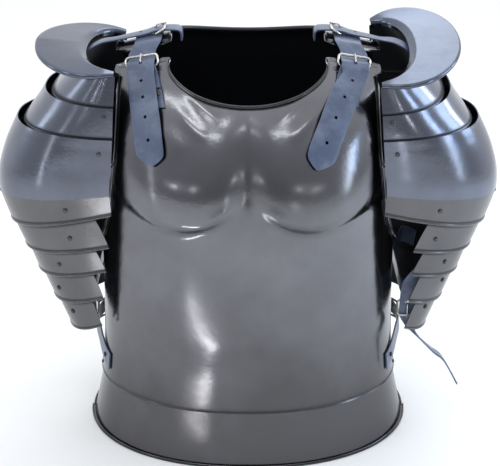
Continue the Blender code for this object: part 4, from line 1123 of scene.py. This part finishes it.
def cap_strap(side_name, side):
    half = CAP_STRAP_HALF
    over_roll = 2 * ROLL_RADIUS + PLATE - LAYER + ON_STEEL
    low = -LAYER + ON_STEEL + FIT + BUCKLE_WIRE
    over_bar = low + BUCKLE_WIRE + BUCKLE_FIT + LEATHER
    bar_x = NECK_HALF + 0.015
    length = 0.013

    def chart(across, along, out):
        return back_point(side, bar_x - along, CAP_STRAP_LEVEL - across / TAB_LEVEL_LENGTH, out)

    centre_y = chart(0, -0.03, 0).y
    inner_lame = -2 * LAME_LAYER - PLATE - 0.0008
    inner_guard = inner_lame - LAME_LAYER
    rows = [[arm_surface(side, place, arm_angle(centre_y + x * half, place), out) for x in (-1, 0, 1)]
            for place, out in ((0.55, inner_lame), (0.32, between(inner_lame, inner_guard, 0.7)),
                               (0.15, inner_guard - FIT))]
    outer_x = NECK_HALF + TAB_WIDTH
    on_tab = [[chart(x * half, bar_x - at, out) for x in (-1, 0, 1)]
              for at, out in ((outer_x + 0.005, over_roll), (outer_x - 0.008, over_roll),
                              (bar_x + 0.012, over_roll), (bar_x, over_bar),
                              (bar_x - length, over_roll + FIT), (bar_x - length - 0.006, over_roll),
                              (NECK_HALF - 0.0135, over_roll - 0.001), (NECK_HALF - 0.0175, 0.0),
                              (NECK_HALF - 0.018, -0.010))]
    rows.append([a.lerp(b, 0.5) + Vector((0, 0, 0.0035)) for a, b in zip(rows[-1], on_tab[0])])
    holes = [tongue_hole(chart, over_bar), punch_hole(chart, 0, -0.018, over_roll)]
    strap(side_name + "_pauldron_strap", rows + on_tab, side < 0, holes)
    buckle(side_name + "_pauldron_buckle", chart, half, length, low,
           over_roll + FIT + BUCKLE_FIT + BUCKLE_WIRE)


# %% Straps of the hips
HIP_BULGE, HIP_BUCKLE_Y, HIP_LEVEL = 0.016, 0.042, 0.85
HIP_CREST = 0.97 * HIP_BULGE      # outer face of the strap at the buckle's bar
SLIM_STRAP_HALF = 0.010


def hip_strap(side_name, side):
    half = SLIM_STRAP_HALF
    flat = ON_STEEL

    def chart(across, along, out):
        y = HIP_BUCKLE_Y - along
        level = HIP_LEVEL + (across + y * 0.25) / TRUNK_HEIGHT * 8
        return mirrored(trunk_surface(side_angle(y), level, out), side)

    back_flat = flat - LAYER + 3 * FIT
    stations = ((-0.062, flat), (-0.045, flat), (-0.028, flat + 0.001), (-0.008, 0.45 * HIP_BULGE),
                (0.012, 0.85 * HIP_BULGE), (HIP_BUCKLE_Y - 0.014, HIP_BULGE), (HIP_BUCKLE_Y, HIP_CREST),
                (0.0475, 0.88 * HIP_BULGE), (0.058, 0.45 * HIP_BULGE), (0.066, back_flat + 0.0006),
                (0.079, back_flat), (0.088, back_flat))
    rows = [[chart(x * half, HIP_BUCKLE_Y - y, out) for x in (-1, 1)] for y, out in stations]
    holes = [tongue_hole(chart, HIP_CREST, 0.0002), punch_hole(chart, 0, 0.030, 0.7 * HIP_BULGE)]
    strap(side_name + "_side_strap", rows, side > 0, holes)
    low = HIP_CREST - LEATHER - 2 * BUCKLE_FIT - BUCKLE_WIRE
    buckle(side_name + "_side_buckle", chart, half, 0.013, low, HIP_BULGE + BUCKLE_FIT + BUCKLE_WIRE)
    for y, out in ((-0.048, flat), (0.079, back_flat)):
        RIVETS.append((chart(0, HIP_BUCKLE_Y - y, out), way_out(chart, 0, HIP_BUCKLE_Y - y), LARGE_HEAD))


# %% Straps of the arms
ARM_STRAP_BAR = Vector((ARM_INNER + 0.0561, ARM_MIDDLE - 0.056, 0.182)) + SHIFT
RIB_CLEARANCE = 0.0065            # from the strap's loop to the side of the trunk
# columns: across, along and out of the bar, share of the width, turn in degrees
ARM_TAIL = {
    -1: ((-0.003, 0.032, -0.003, 0.5, 10),),
    1: ((0.003, 0.034, -0.009, 0.9, 30), (0.010, 0.051, -0.013, 0.85, 60),
        (0.036, 0.078, -0.013, 0.85, 80), (0.052, 0.092, -0.013, 0.85, 82),
        (0.073, 0.130, -0.013, 0.3, 82)),
}


def arm_strap(side_name, side):
    half = SLIM_STRAP_HALF
    length = 0.018

    def chart(across, along, out):
        return mirrored(ARM_STRAP_BAR + Vector((across, -out, -along)), side)

    def under_lame(place, degrees, layers, depth):
        return arm_surface(side, place, math.radians(degrees), -layers * LAME_LAYER - PLATE - depth)

    middle = -63.5 if side > 0 else -73
    rows = [[under_lame(place, middle + x * 5.8, 2, depth) for x in (1, -1)]
            for place, depth in ((6.34, 0.0010), (6.60, 0.0038))]
    for across, along, out in ((0.004, -0.038, 0.0125), (0.001, -0.022, 0.0040), (0, 0, 0), (0, length, 0)):
        rows.append([chart(across + x * half, along, out) for x in (1, -1)])
    for across, along, out, share, degrees in ARM_TAIL[side]:
        c, s = math.cos(math.radians(degrees)), math.sin(math.radians(degrees))
        rows.append([chart(across + x * half * share * c, along, out + x * half * share * s)
                     for x in (1, -1)])
    top = -0.020
    closing = [[chart(across, top - z * half * 0.9, out) for z in (-1, 1)]
               for across, out in ((-0.004, 0.0028), (-0.0080, -0.0010), (0, -0.016))]
    for point in closing[-1]:
        point.x = side * (TRUNK_HALF + RIB_CLEARANCE)
    arm_y = ARM_MIDDLE + SHIFT.y
    centre = [Vector((closing[-1][0].x, arm_y, point.z)) for point in closing[-1]]
    opposite = [[Vector((point.x, 2 * arm_y - point.y, point.z)) for point in row]
                for row in closing[:0:-1]]
    back = [[under_lame(7.25 - z * 0.28, degrees, 3, depth) for z in (-1, 1)]
            for degrees, depth in ((72, 0.0018), (58, 0.0012))]
    loop = strap_mesh(closing + [centre] + opposite + back, side < 0)
    strap(side_name + "_arm_strap", rows, side < 0, [tongue_hole(chart, 0)], [loop])
    buckle(side_name + "_arm_buckle", chart, half, length, -LEATHER - BUCKLE_FIT - BUCKLE_WIRE,
           BUCKLE_FIT + BUCKLE_WIRE + FIT)


for side_name, side in SIDES:
    cap_strap(side_name, side)
    hip_strap(side_name, side)
    arm_strap(side_name, side)
    hidden = frame["nodes"][side_name + "_lame_leather"]
    hidden.data.materials.clear()
    hidden.data.materials.append(HIDDEN_LEATHER)
print("pieces so far", len(PIECES))

# %% [markdown]
# ## Rivets
# Every lame turns on rivets with small domed heads, hammered over from a shank. One
# Geometry Nodes tree puts the same head on every point of a list, turned along its
# stored direction, with a little change in size, as hand-set rivets have. Copies set
# one by one would look the same, but the tree changes all heads with one input.

# %% Where the rivets sit
# columns: index of the lame, left station, left degrees, right station, right degrees
LAME_RIVETS = (
    (1, 1.20, -85, 1.20, -85), (2, 2.42, -85, 2.42, -85), (2, 4.52, -69, 4.52, -64),
    (3, 5.48, -68, 5.48, -62), (4, 6.48, -56, 6.40, -49), (5, 7.50, -45, 7.25, -41),
    (6, 8.32, -51, 8.18, -50), (1, 1.22, -9, 1.22, -9), (2, 4.30, -9, 4.30, -9), (1, 1.20, 85, 1.20, 85),
    (2, 2.42, 85, 2.42, 85), (2, 4.52, 69, 4.52, 64), (3, 5.48, 68, 5.48, 62), (4, 6.48, 56, 6.40, 49),
    (5, 7.50, 45, 7.25, 41),
)
for index, *places in LAME_RIVETS:
    layers = LAMES[index][3]
    for side, station, degrees in ((-1, *places[:2]), (1, *places[2:])):
        lift = fold_lift(station) if index == 2 else 0.0
        angle = math.radians(degrees)
        seat, base, away = (arm_surface(side, station, angle, out)
                            for out in (lift - layers * LAME_LAYER, 0, 0.01))
        RIVETS.append((seat, (away - base).normalized(), LARGE_HEAD))
HEM_RIVET_ANGLE, HEM_RIVET_LEVEL = math.radians(82), 0.16
for side in (-1, 1):
    seat, away = (mirrored(trunk_surface(HEM_RIVET_ANGLE, HEM_RIVET_LEVEL, out), side) for out in (0, 0.01))
    RIVETS.append((seat, (away - seat).normalized(), SMALL_HEAD))

print("places for rivets", len(RIVETS))

# %% The rivet tree
rivet_tree, given, result = geometry_group("set rivets", (
    ("Geometry", "Geometry", None), ("Head height", "Float", 0.50), ("Head lift", "Float", 0.0006),
    ("Size change", "Float", 0.06), ("Seed", "Int", 4), ("Steel", "Material", None)))
head = add_node(rivet_tree, "GeometryNodeMeshUVSphere", Segments=20, Rings=12, Radius=1.0)
flat = add_node(rivet_tree, "ShaderNodeCombineXYZ", X=1.0, Y=1.0, Z=given["Head height"])
dome = add_node(rivet_tree, "GeometryNodeTransform", Geometry=head.outputs["Mesh"], Scale=flat.outputs[0])
facing = add_node(rivet_tree, "GeometryNodeInputNamedAttribute", {"data_type": "FLOAT_VECTOR"}, Name="out")
size = add_node(rivet_tree, "GeometryNodeInputNamedAttribute", {"data_type": "FLOAT"}, Name="size")
lifted = add_node(rivet_tree, "GeometryNodeSetPosition", Geometry=given["Geometry"], Offset=add_node(
    rivet_tree, "ShaderNodeVectorMath", {"operation": "SCALE"}, n0=live_output(facing),
    Scale=given["Head lift"]).outputs[0])
turned = add_node(rivet_tree, "FunctionNodeAlignEulerToVector", {"axis": "Z"}, Vector=live_output(facing))
chance = add_node(rivet_tree, "FunctionNodeRandomValue", {"data_type": "FLOAT"}, n2=0.0, n3=1.0,
                  Seed=given["Seed"])
change = math_node(rivet_tree, "MULTIPLY", live_output(size), math_node(
    rivet_tree, "MULTIPLY_ADD", live_output(chance), given["Size change"], 0.97))
placed = add_node(rivet_tree, "GeometryNodeInstanceOnPoints", Points=lifted.outputs[0],
                  Instance=dome.outputs[0], Rotation=turned.outputs[0], Scale=change)
real = add_node(rivet_tree, "GeometryNodeRealizeInstances", Geometry=placed.outputs[0])
rivet_tree.links.new(add_node(rivet_tree, "GeometryNodeSetMaterial", Geometry=real.outputs[0],
                              Material=given["Steel"]).outputs[0], result["Geometry"])

points = bpy.data.meshes.new("rivet points")
points.from_pydata([seat for seat, _, _ in RIVETS], [], [])
points.attributes.new("out", "FLOAT_VECTOR", "POINT")
points.attributes.new("size", "FLOAT", "POINT")
for k, (_, out, radius) in enumerate(RIVETS):
    points.attributes["out"].data[k].vector = out
    points.attributes["size"].data[k].value = radius
rivet_nodes = sorted(name for name in frame["nodes"] if "rivet" in name)
rivets = finish_piece("rivets", run_group(rivet_tree, {"Steel": RIVET_STEEL}, points), (RIVET_STEEL,),
                      replaced=rivet_nodes)
print(rivets.name, len(RIVETS), "instead of", len(rivet_nodes), "solids")

# %% [markdown]
# ## Floor, light and camera
# Polished metal shows the room more than itself. A pale floor, a pale wall behind and a
# darker room in front give the steel its mid grey, and a few long soft lamps draw the
# bright streaks over chest, belly and shoulders. A picture of a room could light the
# scene too, but with lamps each streak can be moved by itself.

# %% Floor and world
FLOOR_HALF = 3.0
floor_mesh = grid_mesh(
    "floor", lambda column, row: Vector((2 * column - 1, 2 * row - 1, 0)) * FLOOR_HALF, 1, 1)
floor = bpy.data.objects.new("floor", floor_mesh)
bpy.context.scene.collection.objects.link(floor)
floor_mesh.materials.append(plain_material("floor white", (0.95, 0.95, 0.94, 1), 0.9, 0.0))
floor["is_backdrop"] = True

world = bpy.data.worlds.new("studio")
bpy.context.scene.world = world
world.use_nodes = True
tree = world.node_tree
backdrop = tree.nodes["Background"]
ray = tree.nodes.new("ShaderNodeTexCoord").outputs["Generated"]
parts = add_node(tree, "ShaderNodeSeparateXYZ", Vector=ray)
height = math_node(tree, "MULTIPLY_ADD", parts.outputs["Z"], 0.25, 0.5)
share = math_node(tree, "MULTIPLY_ADD", parts.outputs["Y"], 0.35, height)
ramp = tree.nodes.new("ShaderNodeValToRGB")
tree.links.new(share, ramp.inputs["Fac"])
for position, colour in ((0.15, (0.35, 0.355, 0.37)), (0.43, (0.58, 0.60, 0.64)),
                         (0.60, (1.02, 1.03, 1.06)), (0.90, (1.16, 1.18, 1.22))):
    ramp.color_ramp.elements.new(position).color = (*colour, 1)
for spare in (0, -1):
    ramp.color_ramp.elements.remove(ramp.color_ramp.elements[spare])
tree.links.new(ramp.outputs["Color"], backdrop.inputs["Color"])
backdrop.inputs["Strength"].default_value = 1.0
print("floor is", 2 * FLOOR_HALF, "m wide")

# %% Lamps and camera


def lamp(name, place, aim, size, power, colour=(1, 1, 1)):
    """A soft lamp of (width, height) that looks at a point and stays unseen itself."""
    data = bpy.data.lights.new(name, "AREA")
    data.shape = "RECTANGLE"
    data.size, data.size_y = size
    data.energy = power
    data.color = colour
    obj = bpy.data.objects.new(name, data)
    bpy.context.scene.collection.objects.link(obj)
    obj.location = place
    obj.rotation_euler = (Vector(aim) - Vector(place)).to_track_quat("-Z", "Y").to_euler()
    obj.visible_camera = False
    obj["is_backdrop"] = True
    return obj


CHEST = (0, -0.1, 0.40)
lamp("ceiling tube", (-0.55, -0.70, 2.1), CHEST, (0.9, 0.14), 2.6)
lamp("left window", (-0.55, -1.12, 1.77), CHEST, (0.55, 0.12), 1.3)
lamp("right window", (0.42, -1.05, 1.75), CHEST, (0.45, 0.12), 1.0)
lamp("left strip", (-1.25, -0.80, 0.50), (-0.2, 0, 0.4), (0.05, 0.9), 0.4)
lamp("left high panel", (-1.10, -0.52, 1.20), (-0.12, -0.09, 0.46), (0.30, 0.30), 1.5, (0.80, 0.90, 1.0))
lamp("left side panel", (-1.60, 0.10, 0.95), (-0.3, 0, 0.4), (0.30, 0.7), 1.6, (0.84, 0.92, 1.0))
lamp("right strip", (1.36, -0.72, 0.55), (0.2, 0, 0.4), (0.16, 0.7), 2.1, (0.78, 0.88, 1.0))
lamp("right side panel", (1.60, 0.10, 1.00), (0.3, 0, 0.4), (0.5, 0.9), 6.5, (0.62, 0.79, 1.0))
lamp("right blue strip", (1.38, -0.60, 0.70), (0.23, -0.07, 0.42), (0.10, 0.45), 0.9, (0.42, 0.64, 1.0))
lamp("right shoulder panel", (1.35, 0.46, 0.86), (0.22, -0.05, 0.46), (0.22, 0.45), 2.4, (0.88, 0.94, 1.0))
lamp("back panel", (0.45, 1.50, 1.85), (0.2, 0, 0.5), (1.0, 0.8), 6.5, (0.90, 0.95, 1.0))
low_strip = lamp("low strip", (-0.205, -0.37, 0.012), (-0.205, -0.37, 1), (0.236, 0.030), 0.20)
low_strip.rotation_euler = (math.pi, 0, math.radians(36))
# columns: x, y and height of a glint on the chest, degrees round and up to its bulb
GLINTS = (
    (-0.085, -0.134, 0.379, -41, 7), (-0.064, -0.140, 0.379, -29, 8), (0.058, -0.141, 0.379, 26, 9),
    (0.077, -0.137, 0.377, 37, 6), (0.052, -0.147, 0.359, 20, -9),
)
BULB_REACH, BULB_SIZE, BULB_POWER = 1.3, 0.045, 0.12
for x, y, z, azimuth, elevation in GLINTS:
    turn, rise = math.radians(azimuth), math.radians(elevation)
    ray = Vector((math.sin(turn) * math.cos(rise), -math.cos(turn) * math.cos(rise), math.sin(rise)))
    lamp("bulb", Vector((x, y, z)) + ray * BULB_REACH, (x, y, z), (BULB_SIZE, BULB_SIZE), BULB_POWER)

TARGET = Vector((0, 0, 0.28)) + SHIFT
camera_data = bpy.data.cameras.new("camera")
camera = bpy.data.objects.new("camera", camera_data)
bpy.context.scene.collection.objects.link(camera)
camera.location = TARGET + Vector((0, -1.56486, 0.66424))
camera.rotation_euler = (math.radians(67), 0, 0)
camera_data.sensor_fit = "HORIZONTAL"
camera_data.sensor_width = 36
camera_data.lens = 94.05
camera_data.shift_x, camera_data.shift_y = 0.004, -0.0341
bpy.context.scene.camera = camera
bpy.context.scene.view_settings.view_transform = "Standard"
print("camera stands", round((camera.location - TARGET).length, 3), "m from the armour")

# %% Sizes and the end
print(len(PIECES), "pieces with", sum(len(piece.data.polygons) for piece in PIECES), "faces")
low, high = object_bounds()
print("visual", [round(v, 4) for v in low], [round(v, 4) for v in high])
